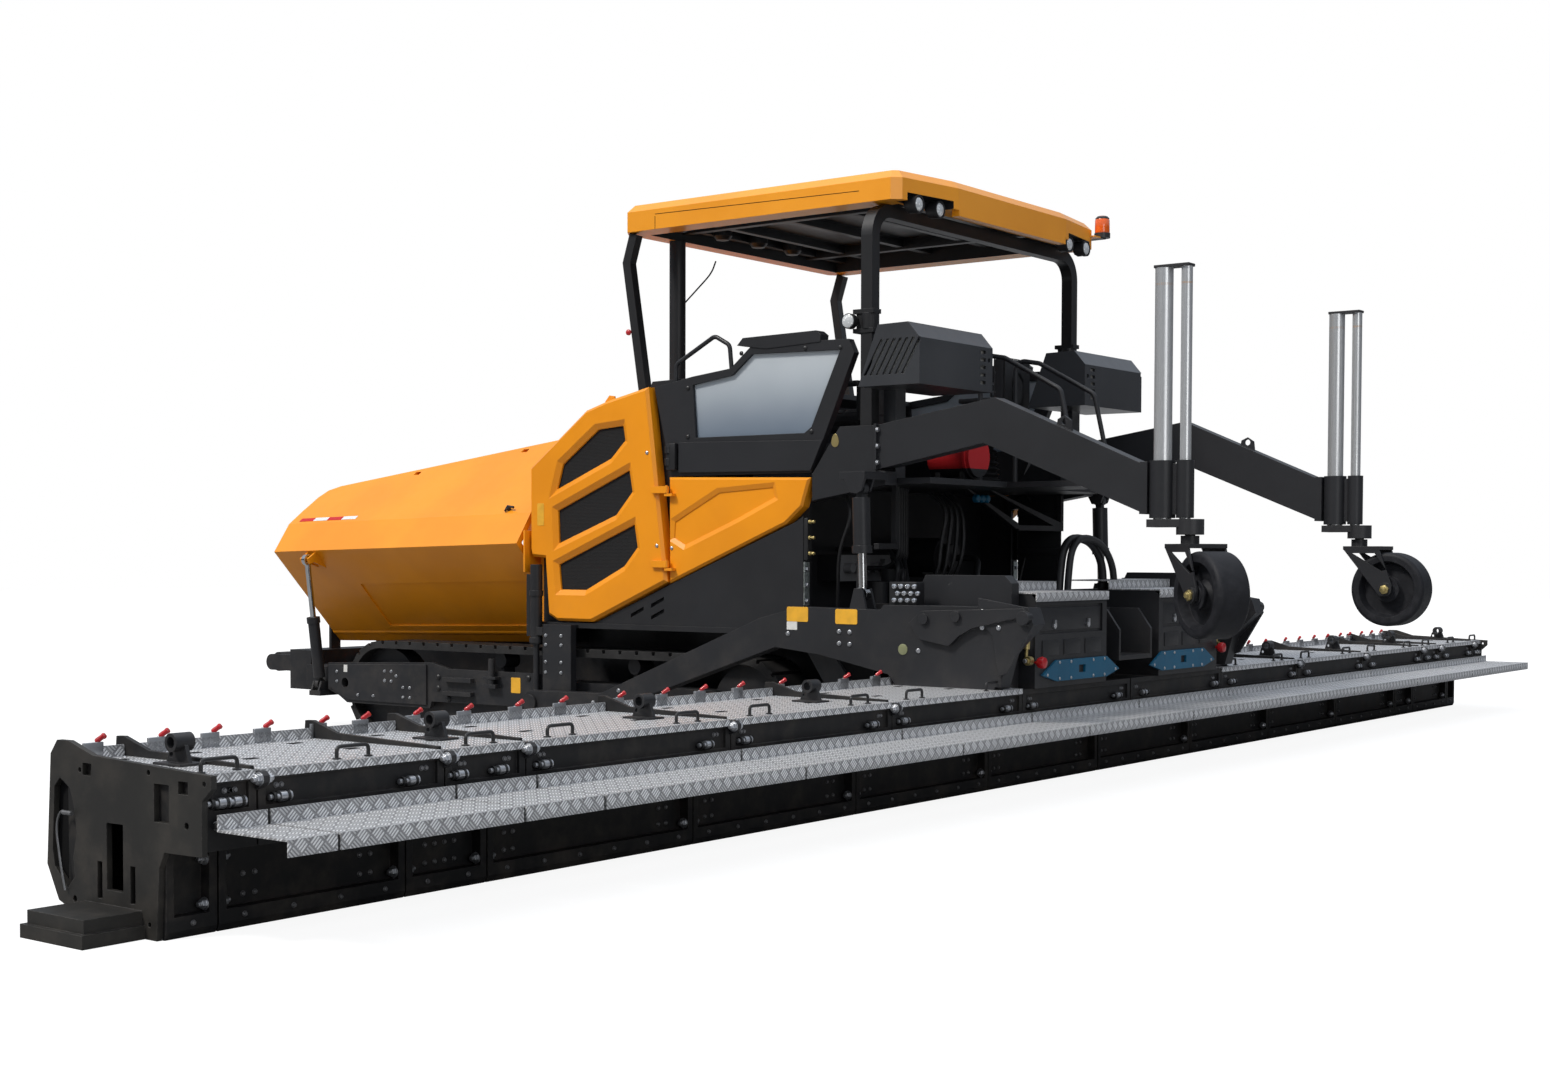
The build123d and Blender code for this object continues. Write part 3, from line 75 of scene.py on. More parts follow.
# ---------------------------------------------------------------- shader maths
class Wire:
    """A shader socket that takes part in Python arithmetic."""

    def __init__(self, shader, socket):
        self.shader, self.socket = shader, socket

    def math(self, operation, *values):
        return self.shader.add("ShaderNodeMath", {"operation": operation}, *values)

    def __add__(self, other): return self.math("ADD", self, other)
    def __radd__(self, other): return self.math("ADD", other, self)
    def __sub__(self, other): return self.math("SUBTRACT", self, other)
    def __rsub__(self, other): return self.math("SUBTRACT", other, self)
    def __mul__(self, other): return self.math("MULTIPLY", self, other)
    def __rmul__(self, other): return self.math("MULTIPLY", other, self)
    def __truediv__(self, other): return self.math("DIVIDE", self, other)
    def __pow__(self, other): return self.math("POWER", self, other)
    def floor(self): return self.math("FLOOR", self)
    def fract(self): return self.math("FRACT", self)
    def abs(self): return self.math("ABSOLUTE", self)
    def sin(self): return self.math("SINE", self)
    def above(self, limit): return self.math("GREATER_THAN", self, limit)
    def most(self, other): return self.math("MAXIMUM", self, other)

    def ramp(self, low, high):
        """0 below low, 1 above high, smooth between."""
        return self.shader.add("ShaderNodeMapRange", {"interpolation_type": "SMOOTHSTEP"}, self, low, high)


class Shader:
    """A material under construction, on Object coordinates."""

    def __init__(self, name, metallic=0.0, **constants):
        self.material = bpy.data.materials.new(name)
        self.material.use_nodes = True
        self.tree = self.material.node_tree
        self.principled = self.tree.nodes["Principled BSDF"]
        self.set("Metallic", metallic)
        for socket, value in constants.items():
            self.set(socket.replace("_", " "), value)

    def add(self, kind, settings, *values, out=0, **named):
        node = self.tree.nodes.new(kind)
        for key, value in settings.items():
            setattr(node, key, value)
        for key, value in list(enumerate(values)) + list(named.items()):
            self.feed(node.inputs[key.replace("_", " ") if isinstance(key, str) else key], value)
        return Wire(self, node.outputs[out])

    def feed(self, socket, value):
        if isinstance(value, Wire):
            self.tree.links.new(value.socket, socket)
        else:
            socket.default_value = value

    def set(self, socket, value):
        if isinstance(value, tuple) and len(value) == 3 and "Color" in socket:
            value = (*value, 1)
        self.feed(self.principled.inputs[socket], value)

    def place(self):
        return self.add("ShaderNodeTexCoord", {}, out="Object")

    def split(self, vector):
        node = self.tree.nodes.new("ShaderNodeSeparateXYZ")
        self.feed(node.inputs[0], vector)
        return [Wire(self, o) for o in node.outputs]

    def noise(self, scale, detail=3.0, roughness=0.5, vector=None):
        return self.add("ShaderNodeTexNoise", {}, Vector=vector or self.place(), Scale=scale, Detail=detail,
                        Roughness=roughness)

    def stretched(self, x, y, z):
        return self.add("ShaderNodeMapping", {}, Vector=self.place(), Scale=(x, y, z))

    def mix(self, factor, a, b):
        node = self.tree.nodes.new("ShaderNodeMix")
        node.data_type = "RGBA"
        for socket, value in zip((node.inputs[0], node.inputs[6], node.inputs[7]), (factor, a, b)):
            self.feed(socket, (*value, 1) if isinstance(value, tuple) else value)
        return Wire(self, node.outputs[2])

    def bump(self, height, distance, strength=1.0, normal=None):
        bump = self.add("ShaderNodeBump", {}, Strength=strength, Distance=distance, Height=height)
        if normal:
            self.feed(bump.socket.node.inputs["Normal"], normal)
        return bump

    def rounded(self, radius):
        return self.add("ShaderNodeBevel", {"samples": 4}, Radius=radius)

    def edge(self, radius, low=0.02, high=0.25):
        """1 on outside and inside edges, 0 on flat faces."""
        flat = self.add("ShaderNodeNewGeometry", {}, out="Normal")
        bent = self.rounded(radius)
        dot = self.add("ShaderNodeVectorMath", {"operation": "DOT_PRODUCT"}, flat, bent, out="Value")
        return (1 - dot).ramp(low, high)

    def done(self, base, rough, normal=None):
        """The material, with these three sockets fed."""
        self.set("Base Color", base)
        self.set("Roughness", rough)
        if normal:
            self.set("Normal", normal)
        return self.material


# ---------------------------------------------------------------- finishes
BARE_STEEL, ROAD_DUST = (0.09, 0.085, 0.08), (0.10, 0.085, 0.07)


def paint(name, colour, shade, roughness, coat, wear=0.0, dust=0.25, level=0.5, over=None):
    """Sprayed paint: faint orange peel, slow drift in tone, road dust low down and rubbed edges.

    over is a function that paints a second finish onto part of the surface.
    """
    s = Shader(name, Coat_Roughness=0.12, Coat_Weight=coat, Specular_IOR_Level=level)
    drift = s.noise(1.6, 4.0).ramp(0.35, 0.7)
    base = s.mix(drift, colour, shade)
    height = s.split(s.place())[2]
    low = (1 - height.ramp(0.1, 1.5)) * s.noise(5.0, 6.0, 0.65).ramp(0.4, 0.75) * dust
    base = s.mix(low, base, ROAD_DUST)
    rough = roughness + 0.10 * s.noise(9.0, 3.0) + low * 0.3
    if wear:
        rubbed = s.edge(0.006) * s.noise(22.0, 5.0, 0.7).ramp(0.42, 0.6) * wear
        base = s.mix(rubbed, base, BARE_STEEL)
        rough = rough + rubbed * 0.15
    if over:
        base, rough = over(s, base, rough)
    return s.done(base, rough, s.bump(s.noise(420.0, 2.0), 0.0003, 0.25, s.rounded(0.004)))


def inside(s, x=None, y=None, z=None):
    """1 where the surface lies between the given stations, |Y| and heights."""
    px, py, pz = s.split(s.place())
    mask = None
    for value, span in ((px - STATION, x), (py.abs(), y), (pz, z)):
        if span:
            part = value.above(span[0]) * (1 - value.above(span[1]))
            mask = part if mask is None else mask * part
    return mask


def roof_parts(s, base, rough):
    """Black liner pocket and lamp recesses, dark beacon bracket."""
    dark = inside(s, x=(0.8995, 3.1205), y=(-1, 1.2005), z=(3.9, 4.0745))
    dark = dark.most(inside(s, x=(0.70, 0.8605), y=(0.8195, 1.2905), z=(3.80, 3.9575)))
    dark = dark.most(inside(s, x=(0.60, 0.90), y=(1.3955, 1.60), z=(3.90, 4.2)))
    return s.mix(dark, base, (0.010, 0.010, 0.011)), rough + dark * 0.15


def bay_parts(s, base, rough):
    """Red tank on the floor, dull zinc on the valve block."""
    red = inside(s, x=(0.60, 1.10), y=(0.30, 0.80), z=(2.125, 2.50))
    zinc = inside(s, x=(1.50, 1.60), y=(0.20, 0.95), z=(1.32, 1.53))
    base = s.mix(red, base, (0.42, 0.012, 0.016))
    return s.mix(zinc, base, (0.16, 0.16, 0.165)), rough


def tread_plate():
    """Rolled aluminium: cells of four raised bars, every other cell turned a quarter, darker between the bars, with
    dark scuffs. Every other cell is painted brighter, a painted highlight as if its bars caught the light.
    """
    pitch = 0.053
    s = Shader("tread_plate", metallic=0.5, Specular_IOR_Level=0.5)
    x, y, z = s.split(s.place())
    x = x + z
    u, v = (x + y) / (pitch * math.sqrt(2)), (x - y) / (pitch * math.sqrt(2))
    a, b = u.fract() - 0.5, v.fract() - 0.5
    odd = ((u.floor() + v.floor()) * 0.5).fract().above(0.25)
    along = a + (b - a) * odd
    across = b + (a - b) * odd
    ends = 1 - along.abs().ramp(0.34, 0.43)
    rows = 1 - ((across * 4.0).fract() - 0.5).abs().ramp(0.20, 0.36)
    raised = ends * rows * (1 - across.abs().ramp(0.47, 0.50))
    scuff = s.noise(2.2, 5.0, 0.6).ramp(0.35, 0.72)
    # painted highlight: the cells turned one way get a brighter colour, as if their bars caught the light
    base = s.mix(odd, (0.62, 0.625, 0.635), (0.96, 0.965, 0.975))
    base = s.mix(scuff * 0.4, base, (0.56, 0.56, 0.57))
    base = s.mix((1 - raised) * 0.80, base, (0.20, 0.20, 0.205))
    rust = s.noise(3.1, 6.0, 0.7).ramp(0.66, 0.80)
    base = s.mix(rust * 0.35, base, (0.22, 0.14, 0.09))
    return s.done(base, 0.50 - raised * 0.16 + 0.10 * scuff, s.bump(raised, 0.0032, 0.9, s.rounded(0.002)))


def chrome(name="hard_chrome", caps=None):
    """Ground chrome with a painted reflection: faint dark bands, long along Z, as from dark surroundings; caps paints
    black steel beyond two heights.
    """
    s = Shader(name)
    # painted reflection: noise stretched along Z lays dark bands into the colour
    reflection_band = s.noise(1.0, 3.0, vector=s.stretched(90, 90, 1.2)).ramp(0.4, 0.7)
    base = s.mix(reflection_band * 0.45, (0.58, 0.59, 0.60), (0.36, 0.37, 0.38))
    metallic, rough = 1.0, 0.10 + reflection_band * 0.10
    if caps:
        black = 1 - inside(s, z=caps)
        base = s.mix(black, base, (0.014, 0.014, 0.016))
        metallic, rough = 0.62 - black * 0.62, 0.26 + reflection_band * 0.08 + black * 0.2
    s.set("Metallic", metallic)
    return s.done(base, rough, s.rounded(0.003))


def track_iron():
    """Rough dark iron with a fine grain and pale worn edges."""
    s = Shader("track_iron", Specular_IOR_Level=0.35)
    blotch = s.noise(6.0, 5.0, 0.6).ramp(0.38, 0.7)
    base = s.mix(blotch, (0.0125, 0.0120, 0.0120), (0.02275, 0.0220, 0.0220))
    worn = s.edge(0.005) * s.noise(30.0, 4.0).ramp(0.4, 0.62)
    return s.done(s.mix(worn * 0.5, base, (0.14, 0.135, 0.13)), 0.62 + 0.12 * blotch - 0.2 * worn,
                  s.bump(s.noise(180.0, 3.0), 0.0008, 0.35, s.rounded(0.003)))


def rubber():
    """Solid tyre with scuffs."""
    s = Shader("solid_rubber", Specular_IOR_Level=0.22)
    scuff = s.noise(14.0, 5.0, 0.7).ramp(0.4, 0.75)
    return s.done(s.mix(scuff, (0.009, 0.0095, 0.012), (0.019, 0.0195, 0.023)), 0.55 + scuff * 0.2,
                  s.bump(s.noise(260.0, 2.0), 0.0005, 0.3, s.rounded(0.006)))


def frosted_glass():
    """Tinted pane with a painted reflection of the sky: pale towards the top, darker and bluer below."""
    s = Shader("frosted_glass", IOR=1.35, Specular_IOR_Level=0.6)
    cloud = s.noise(1.1, 3.0).ramp(0.25, 0.8)
    height = s.split(s.place())[2]
    # painted reflection: the colour pales towards the top, as the sky would show in the glass
    reflection_and_haze = height.ramp(2.30, 2.95) * 0.85 + cloud * 0.15
    return s.done(s.mix(reflection_and_haze, (0.10, 0.135, 0.185), (0.50, 0.54, 0.57)), 0.30 + cloud * 0.12, s.rounded(0.002))


def plain(name, colour, roughness, metallic=0.0, grain=120.0, rough_bump=0.2, **constants):
    """A smooth finish with a faint change in tone and gloss."""
    s = Shader(name, metallic=metallic, **constants)
    drift = s.noise(12.0, 3.0).ramp(0.3, 0.75)
    return s.done(s.mix(drift, colour, tuple(c * 0.8 for c in colour)), roughness + 0.1 * drift,
                  s.bump(s.noise(grain, 2.0), 0.0004, rough_bump, s.rounded(0.003)))


def perforated(name, sheet, hole, pitch):
    """Sheet with staggered round holes, sunk and painted darker: painted shade seen through the holes of the mesh and
    the filter mat, a cell pattern on the reflectors.
    """
    s = Shader(name, Specular_IOR_Level=0.3)
    x, _, z = s.split(s.place())
    row = z / (pitch * 0.866)
    shift = (row.floor() * 0.5).fract()
    a, b = (x / pitch + shift).fract() - 0.5, row.fract() - 0.5
    # the hole colour is painted shade on the mesh and the mat, and the cell pattern on the reflectors
    dot = 1 - ((a ** 2) + (b ** 2)).ramp(0.09, 0.13)
    return s.done(s.mix(dot, sheet, hole), 0.5 + dot * 0.3, s.bump(1 - dot, 0.002, 0.8))


def galvanised():
    """Hot-dip zinc with its spangle."""
    s = Shader("galvanised", metallic=0.8)
    cell = s.add("ShaderNodeTexVoronoi", {}, Vector=s.place(), Scale=60.0, out="Color")
    tone = s.split(cell)[0]
    return s.done(s.mix(tone, (0.30, 0.33, 0.31), (0.50, 0.53, 0.51)), 0.38 + tone * 0.2)


def lens():
    """Clear lamp glass over a ring of pale diodes."""
    s = Shader("lamp_lens", Coat_Weight=0.8, Coat_Roughness=0.05)
    spots = s.add("ShaderNodeTexVoronoi", {}, Vector=s.place(), Scale=55.0, out="Distance").ramp(0.25, 0.5)
    return s.done(s.mix(spots, (0.86, 0.87, 0.86), (0.50, 0.52, 0.53)), 0.12 + spots * 0.2,
                  s.bump(1 - spots, 0.002, 0.6))


def woven():
    """Seat cloth: a fine over-and-under weave."""
    scale = 900.0
    s = Shader("seat_cloth", Sheen_Weight=0.3, Specular_IOR_Level=0.3)
    x, y, z = s.split(s.place())
    weave = (x * scale).sin() * ((y + z) * scale).sin()
    return s.done(s.mix(weave.ramp(-0.5, 0.8), (0.016, 0.016, 0.018), (0.0288, 0.0288, 0.0324)),
                  0.82 - 0.08 * weave.ramp(-0.2, 0.8), s.bump(weave, 0.0006, 0.5))


YELLOW = paint("orange_yellow_paint", (0.83, 0.290, 0.004), (0.75, 0.255, 0.003), 0.36, 0.10, level=0.38)
ROOF_YELLOW = paint("roof_paint", (0.85, 0.325, 0.012), (0.80, 0.295, 0.009), 0.33, 0.24, over=roof_parts)
CHARCOAL = paint("charcoal_paint", (0.0150, 0.0155, 0.0180), (0.0115, 0.0118, 0.0135), 0.44, 0.08, 0.35, level=0.35)
BOX_GREY = paint("box_paint", (0.030, 0.032, 0.036), (0.025, 0.0265, 0.030), 0.34, 0.30, 0.3)
END_STEEL = paint("end_plate_steel", (0.0190, 0.0180, 0.0160), (0.0140, 0.0132, 0.0120), 0.50, 0.03, 0.8, 0.3, 0.35)
BAY = paint("bay_paint", (0.0125, 0.0128, 0.0145), (0.0100, 0.0100, 0.0112), 0.46, 0.06, 0.3, level=0.3, over=bay_parts)
BLACK_STEEL = paint("black_steel", (0.0085, 0.0085, 0.0092), (0.0115, 0.0112, 0.0115), 0.52, 0.03, 0.6, 0.35, 0.3)
SATIN_BLACK = paint("satin_black", (0.0100, 0.0100, 0.0110), (0.0080, 0.0080, 0.0088), 0.40, 0.15, 0.3, 0.1, 0.4)
SHADOW_BLACK = plain("shadow_black", (0.0040, 0.0040, 0.0045), 0.75, Specular_IOR_Level=0.15)
BLUE = paint("blue_paint", (0.001, 0.100, 0.190), (0.001, 0.080, 0.155), 0.38, 0.10, 0.5, 0.05, 0.3)
TREAD = tread_plate()
CHROME = chrome()
POST_CHROME = chrome("post_chrome", caps=(1.745, 3.2685))
CHROME_FITTING = plain("bright_fitting", (0.62, 0.63, 0.65), 0.16, metallic=1.0)
IRON = track_iron()
RUBBER = rubber()
GLASS = frosted_glass()
VINYL = plain("black_vinyl", (0.012, 0.012, 0.013), 0.5, grain=300.0)
SEAT_CLOTH = woven()
PLASTIC = plain("dark_plastic", (0.014, 0.014, 0.015), 0.5)
GLOSS_BLACK = plain("gloss_black", (0.008, 0.008, 0.009), 0.18, Coat_Weight=0.5)
ZINC = plain("zinc_plate", (0.50, 0.51, 0.53), 0.30, metallic=0.9)
DULL_ZINC = plain("dull_zinc", (0.20, 0.20, 0.205), 0.42, metallic=0.8)
GALVANISED = galvanised()
BRASS = plain("yellow_zinc", (0.50, 0.40, 0.17), 0.34, metallic=0.85)
RING = plain("ring_mark", (0.50, 0.26, 0.08), 0.4, metallic=0.6)
SIGHT = plain("sight_disc", (0.22, 0.23, 0.12), 0.25, Coat_Weight=0.6)
LABEL = plain("blank_yellow_plate", (0.82, 0.42, 0.03), 0.40, grain=60.0)
PALE_LABEL = plain("blank_pale_plate", (0.70, 0.69, 0.66), 0.45, grain=60.0)
MESH = perforated("black_mesh", (0.0125, 0.0125, 0.0135), (0.0025, 0.0025, 0.0025), 0.012)
MAT = perforated("filter_mat", (0.40, 0.395, 0.37), (0.13, 0.128, 0.12), 0.010)
RED_GRIP = plain("red_plastic", (0.48, 0.008, 0.014), 0.30, Coat_Weight=0.3)
REFLEX_RED = perforated("red_reflector", (0.60, 0.020, 0.025), (0.44, 0.010, 0.015), 0.008)
REFLEX_WHITE = perforated("white_reflector", (0.78, 0.79, 0.80), (0.62, 0.63, 0.65), 0.008)
AMBER = plain("amber_glass", (0.85, 0.13, 0.010), 0.12, Coat_Weight=0.8)
LENS = lens()
HOSE = plain("hose_rubber", (0.010, 0.010, 0.011), 0.45, grain=500.0, rough_bump=0.5)
SCREEN = plain("screen_glass", (0.006, 0.008, 0.012), 0.08, Coat_Weight=0.9)

FINISH = {"yellow_paint": YELLOW, "charcoal_paint": CHARCOAL, "black_steel": BLACK_STEEL, "chrome": CHROME,
          "tread_plate": TREAD, "blue_paint": BLUE, "track_steel": IRON, "solid_tyre": RUBBER,
          "clear_glass": GLASS, "seat_cover": VINYL, "dark_plastic": PLASTIC, "black_mesh": BLACK_STEEL}
OWN_FINISH = {"rear_boxes": BOX_GREY, "end_plates": END_STEEL, "canopy_roof": ROOF_YELLOW, "post_left": POST_CHROME,
              "post_right": POST_CHROME, "hydraulics": BAY, "canopy_posts": SATIN_BLACK, "body_frame": BAY,
              "engine": BAY}
SLOTS = {m["slot"] for m in frame["record"]["materials"]}


def dress_cad():
    for part in frame["record"]["subparts"]:
        data = frame["nodes"][part["node"]].data
        data.materials.clear()
        data.materials.append(OWN_FINISH.get(part["node"], FINISH[part["material_slot"]]))


# ---------------------------------------------------------------- workshop: meshes
BOTH = (1, -1)
OUT, IN, REAR, UP = (0, 1, 0), (0, -1, 0), (-1, 0, 0), (0, 0, 1)
OPEN = []                                          # pieces begun and not yet on their bodies


def ring(centre, across, up, radius, count):
    """count points around centre in the plane of across and up."""
    angles = [2 * math.pi * i / count for i in range(count)]
    return [centre + (across * math.cos(a) + up * math.sin(a)) * radius for a in angles]


class Piece:
    def __init__(self, name, body=None, slot=None, material=None):
        self.name, self.body, self.slot, self.material = name, body, slot, material
        self.mesh = bmesh.new()
        if body:
            OPEN.append(self)

    def skin(self, loops):
        """Quads between successive loops of equal length, with a face at each end."""
        rings = [[self.mesh.verts.new(p) for p in points] for points in loops]
        faces = []
        for a, b in zip(rings, rings[1:]):
            for i in range(len(a)):
                j = (i + 1) % len(a)
                faces.append(self.mesh.faces.new((a[i], a[j], b[j], b[i])))
        faces.append(self.mesh.faces.new(rings[0][::-1]))
        faces.append(self.mesh.faces.new(rings[-1]))
        return faces

    def prism(self, axis, outline, low, high, soft=0.0, side=1):
        """An outline in the plane across axis, from low to high, with rounded edges. side -1 mirrors it in Y."""
        def lift(u, v, w):
            x, y, z = {"Y": (u, w, v), "Z": (u, v, w)}[axis]
            return spot(x, side * y, z)
        faces = self.skin([[lift(u, v, w) for u, v in outline] for w in (low, high)])
        if soft:
            edges = {e for f in faces for e in f.edges}
            bmesh.ops.bevel(self.mesh, geom=list(edges), offset=soft, segments=2, affect="EDGES", profile=0.6,
                            clamp_overlap=True)

    def block(self, x0, x1, y0, y1, z0, z1, soft=0.0, side=1):
        self.prism("Z", [(x0, y0), (x1, y0), (x1, y1), (x0, y1)], z0, z1, soft, side)

    def tag(self, u, v, width, height, r, face, thickness, side):
        """A thin plate with round corners on the machine's side."""
        self.prism("Y", rounded_box(u, v, width, height, r), face, face + thickness, 0, side)

    def turned(self, profile, centre, along, sides=20):
        """A turned form: profile is (distance along, radius) from end to end, a radius of 0 closes it."""
        along = Vector(along).normalized()
        across = along.orthogonal().normalized()
        up = along.cross(across)
        self.skin([ring(centre + along * reach, across, up, max(radius, POINT_R), sides) for reach, radius in profile])

    def tube(self, path, radius, sides=8):
        """A round bar or hose along points already in the frame."""
        side = None
        loops = []
        for i, p in enumerate(path):
            before, after = path[max(i - 1, 0)], path[min(i + 1, len(path) - 1)]
            along = (after - before).normalized()
            side = along.orthogonal().normalized() if side is None else (side - along * side.dot(along)).normalized()
            loops.append(ring(p, side, along.cross(side), radius, sides))
        self.skin(loops)

    def hose(self, corners, bend, radius, sides=10, steps=6):
        """A tube through corners given as stations, each rounded by bend."""
        self.tube(eased([spot(*c) for c in corners], bend, steps), radius, sides)

    def as_mesh(self):
        bmesh.ops.recalc_face_normals(self.mesh, faces=self.mesh.faces)
        data = bpy.data.meshes.new(self.name)
        self.mesh.to_mesh(data)
        self.mesh.free()
        return data

    def finish(self):
        OPEN.remove(self)
        return settle(self.name, self.as_mesh(), self.body, self.slot, self.material)


POINT_R = 0.0002                                   # radius of a turned form's closed end


def placed(name, data):
    """A new object in the scene."""
    thing = bpy.data.objects.new(name, data)
    bpy.context.scene.collection.objects.link(thing)
    return thing


def settle(name, data, body, slot, material, crease=38):
    """A finished mesh as a piece on its body."""
    data.materials.clear()
    data.materials.append(material)
    data.polygons.foreach_set("use_smooth", [True] * len(data.polygons))
    data.set_sharp_from_angle(angle=math.radians(crease))
    thing = placed(name, data)
    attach(thing, body)
    slot in SLOTS
    return thing


def eased(corners, bend, steps=6):
    """Points of a path through corners with each corner rounded by bend."""
    path = [corners[0]]
    for before, corner, after in zip(corners, corners[1:], corners[2:]):
        a, b = (corner + (end - corner).normalized() * min(bend, (end - corner).length / 2) for end in (before, after))
        for i in range(steps + 1):
            t = i / steps
            path.append(a.lerp(corner, t).lerp(corner.lerp(b, t), t))
    path.append(corners[-1])
    return path


def rounded_box(u, v, width, height, r, steps=4):
    """The outline of a box about (u, v) with round corners."""
    outline = []
    for way_u, way_v, start in ((1, 1, 0), (-1, 1, 90), (-1, -1, 180), (1, -1, 270)):
        for i in range(steps + 1):
            a = math.radians(start + 90 * i / steps)
            outline.append((u + way_u * (width / 2 - r) + r * math.cos(a),
                            v + way_v * (height / 2 - r) + r * math.sin(a)))
    return outline


# ---------------------------------------------------------------- workshop: fasteners by Geometry Nodes
def fastener_tree():
    """Sets Head on every point, its Z turned to the point's own aim, and gives all of them one finish."""
    tree = bpy.data.node_groups.new("fasteners", "GeometryNodeTree")
    for name, way, kind in (("Geometry", "INPUT", "Geometry"), ("Head", "INPUT", "Object"), ("Size", "INPUT", "Float"),
                            ("Finish", "INPUT", "Material"), ("Geometry", "OUTPUT", "Geometry")):
        tree.interface.new_socket(name, in_out=way, socket_type="NodeSocket" + kind)
    made = {key: tree.nodes.new(kind) for key, kind in (
        ("in", "NodeGroupInput"), ("out", "NodeGroupOutput"), ("head", "GeometryNodeObjectInfo"),
        ("aim", "GeometryNodeInputNamedAttribute"), ("turn", "FunctionNodeAlignRotationToVector"),
        ("set", "GeometryNodeInstanceOnPoints"), ("real", "GeometryNodeRealizeInstances"),
        ("paint", "GeometryNodeSetMaterial"))}
    made["aim"].data_type = "FLOAT_VECTOR"
    made["aim"].inputs["Name"].default_value = "aim"
    made["turn"].axis = "Z"
    for a, out, b, into in (("in", "Geometry", "set", "Points"), ("in", "Head", "head", "Object"),
                            ("head", "Geometry", "set", "Instance"), ("aim", "Attribute", "turn", "Vector"),
                            ("turn", "Rotation", "set", "Rotation"), ("in", "Size", "set", "Scale"),
                            ("set", "Instances", "real", "Geometry"), ("real", "Geometry", "paint", "Geometry"),
                            ("in", "Finish", "paint", "Material"), ("paint", "Geometry", "out", "Geometry")):
        tree.links.new(made[a].outputs[out], made[b].inputs[into])
    return tree


FASTENERS = fastener_tree()
WASHER_HEX, WASHER_NUT = [(0, 0.62), (0.09, 0.62), (0.09, 0.0)], [(0, 0.66), (0.09, 0.66), (0.09, 0.0)]
HEAD_FORMS = {                                     # turned profiles and their sides, one unit across, on Z 0
    "hex": ((WASHER_HEX, 14), ([(0.08, 0.5), (0.40, 0.5), (0.46, 0.42), (0.46, 0)], 6)),
    "nut": ((WASHER_NUT, 14), ([(0.08, 0.5), (0.48, 0.5), (0.54, 0.42), (0.54, 0)], 6),
            ([(0.5, 0.28), (0.80, 0.28), (0.84, 0.24), (0.84, 0)], 10)),
    "dome": (([(0, 0.5), (0.12, 0.48), (0.24, 0.36), (0.30, 0.18), (0.31, 0)], 12),)}


def head_form(kind):
    """The head that repeats."""
    form = Piece(kind)
    for profile, sides in HEAD_FORMS[kind]:
        form.turned(profile, Vector((0, 0, 0)), UP, sides)
    return placed(kind, form.as_mesh())


HEADS = {kind: head_form(kind) for kind in HEAD_FORMS}


def fasteners(name, body, slot, material, kind, size, places, sides=BOTH):
    """One head at each of the stations that places lists by their aim, on both sides, kept as one plain mesh."""
    data = bpy.data.meshes.new(name)
    heads = [(p, aim, side) for side in sides for aim, group in places.items() for p in group]
    data.from_pydata([spot(x, side * y, z) for (x, y, z), _, side in heads], [], [])
    aims = [c for _, (x, y, z), side in heads for c in (x, side * y, z)]
    data.attributes.new("aim", "FLOAT_VECTOR", "POINT").data.foreach_set("vector", aims)
    seed = placed(name + "_points", data)
    bolt = seed.modifiers.new("fasteners", "NODES")
    bolt.node_group = FASTENERS
    for socket in FASTENERS.interface.items_tree:
        value = {"Head": HEADS[kind], "Size": size, "Finish": material}.get(socket.name)
        if value:
            bolt[socket.identifier] = value
    plain_mesh = bpy.data.meshes.new_from_object(seed.evaluated_get(bpy.context.evaluated_depsgraph_get()))
    bpy.data.objects.remove(seed)
    settle(name, plain_mesh, body, slot, material, 30)


# ---------------------------------------------------------------- screed fittings
JOINTS = (1.5, 3.0, 4.5, 6.0, 6.5, 7.5)            # Y of the flanged joints on each side
DECK = 0.672                                       # top of the tread plates
BEAM_REAR, FOOT_REAR = -0.262, -0.012              # rear faces of the upper beam and of the lower frame
HANDLE_Y = (1.79, 2.70, 3.27, 4.20, 4.80, 5.73, 6.25, 6.98, 7.65)
CLAMP_Y = (1.90, 2.26, 2.94, 3.35, 3.70, 4.04, 4.41, 4.87, 5.20, 5.56, 5.90, 6.23, 6.48, 6.80, 7.08, 7.35, 7.66)
HINGE_Y = (0.16, 1.34, 1.66, 2.84, 3.16, 4.34, 4.66, 5.84, 6.125, 6.375, 6.66, 7.34, 7.5625, 7.6875)
WIDTHS = ((0, 1.5),) + tuple(zip(JOINTS, JOINTS[1:] + (7.75,)))


def deck_handles():
    piece = Piece("deck_handles", "screed", "black_steel", SATIN_BLACK)
    x, half, foot, grip = -0.215, 0.085, DECK - 0.006, DECK + 0.052
    for side in BOTH:
        for y in HANDLE_Y:
            y *= side
            piece.hose([(x, y - half, foot), (x, y - half, grip), (x, y + half, grip), (x, y + half, foot)],
                       0.022, 0.0085, steps=4)
            for end in (-half, half):
                piece.turned([(0, 0.018), (0.006, 0.018), (0.008, 0.012)], spot(x, y + end, DECK - 0.001), UP, 12)


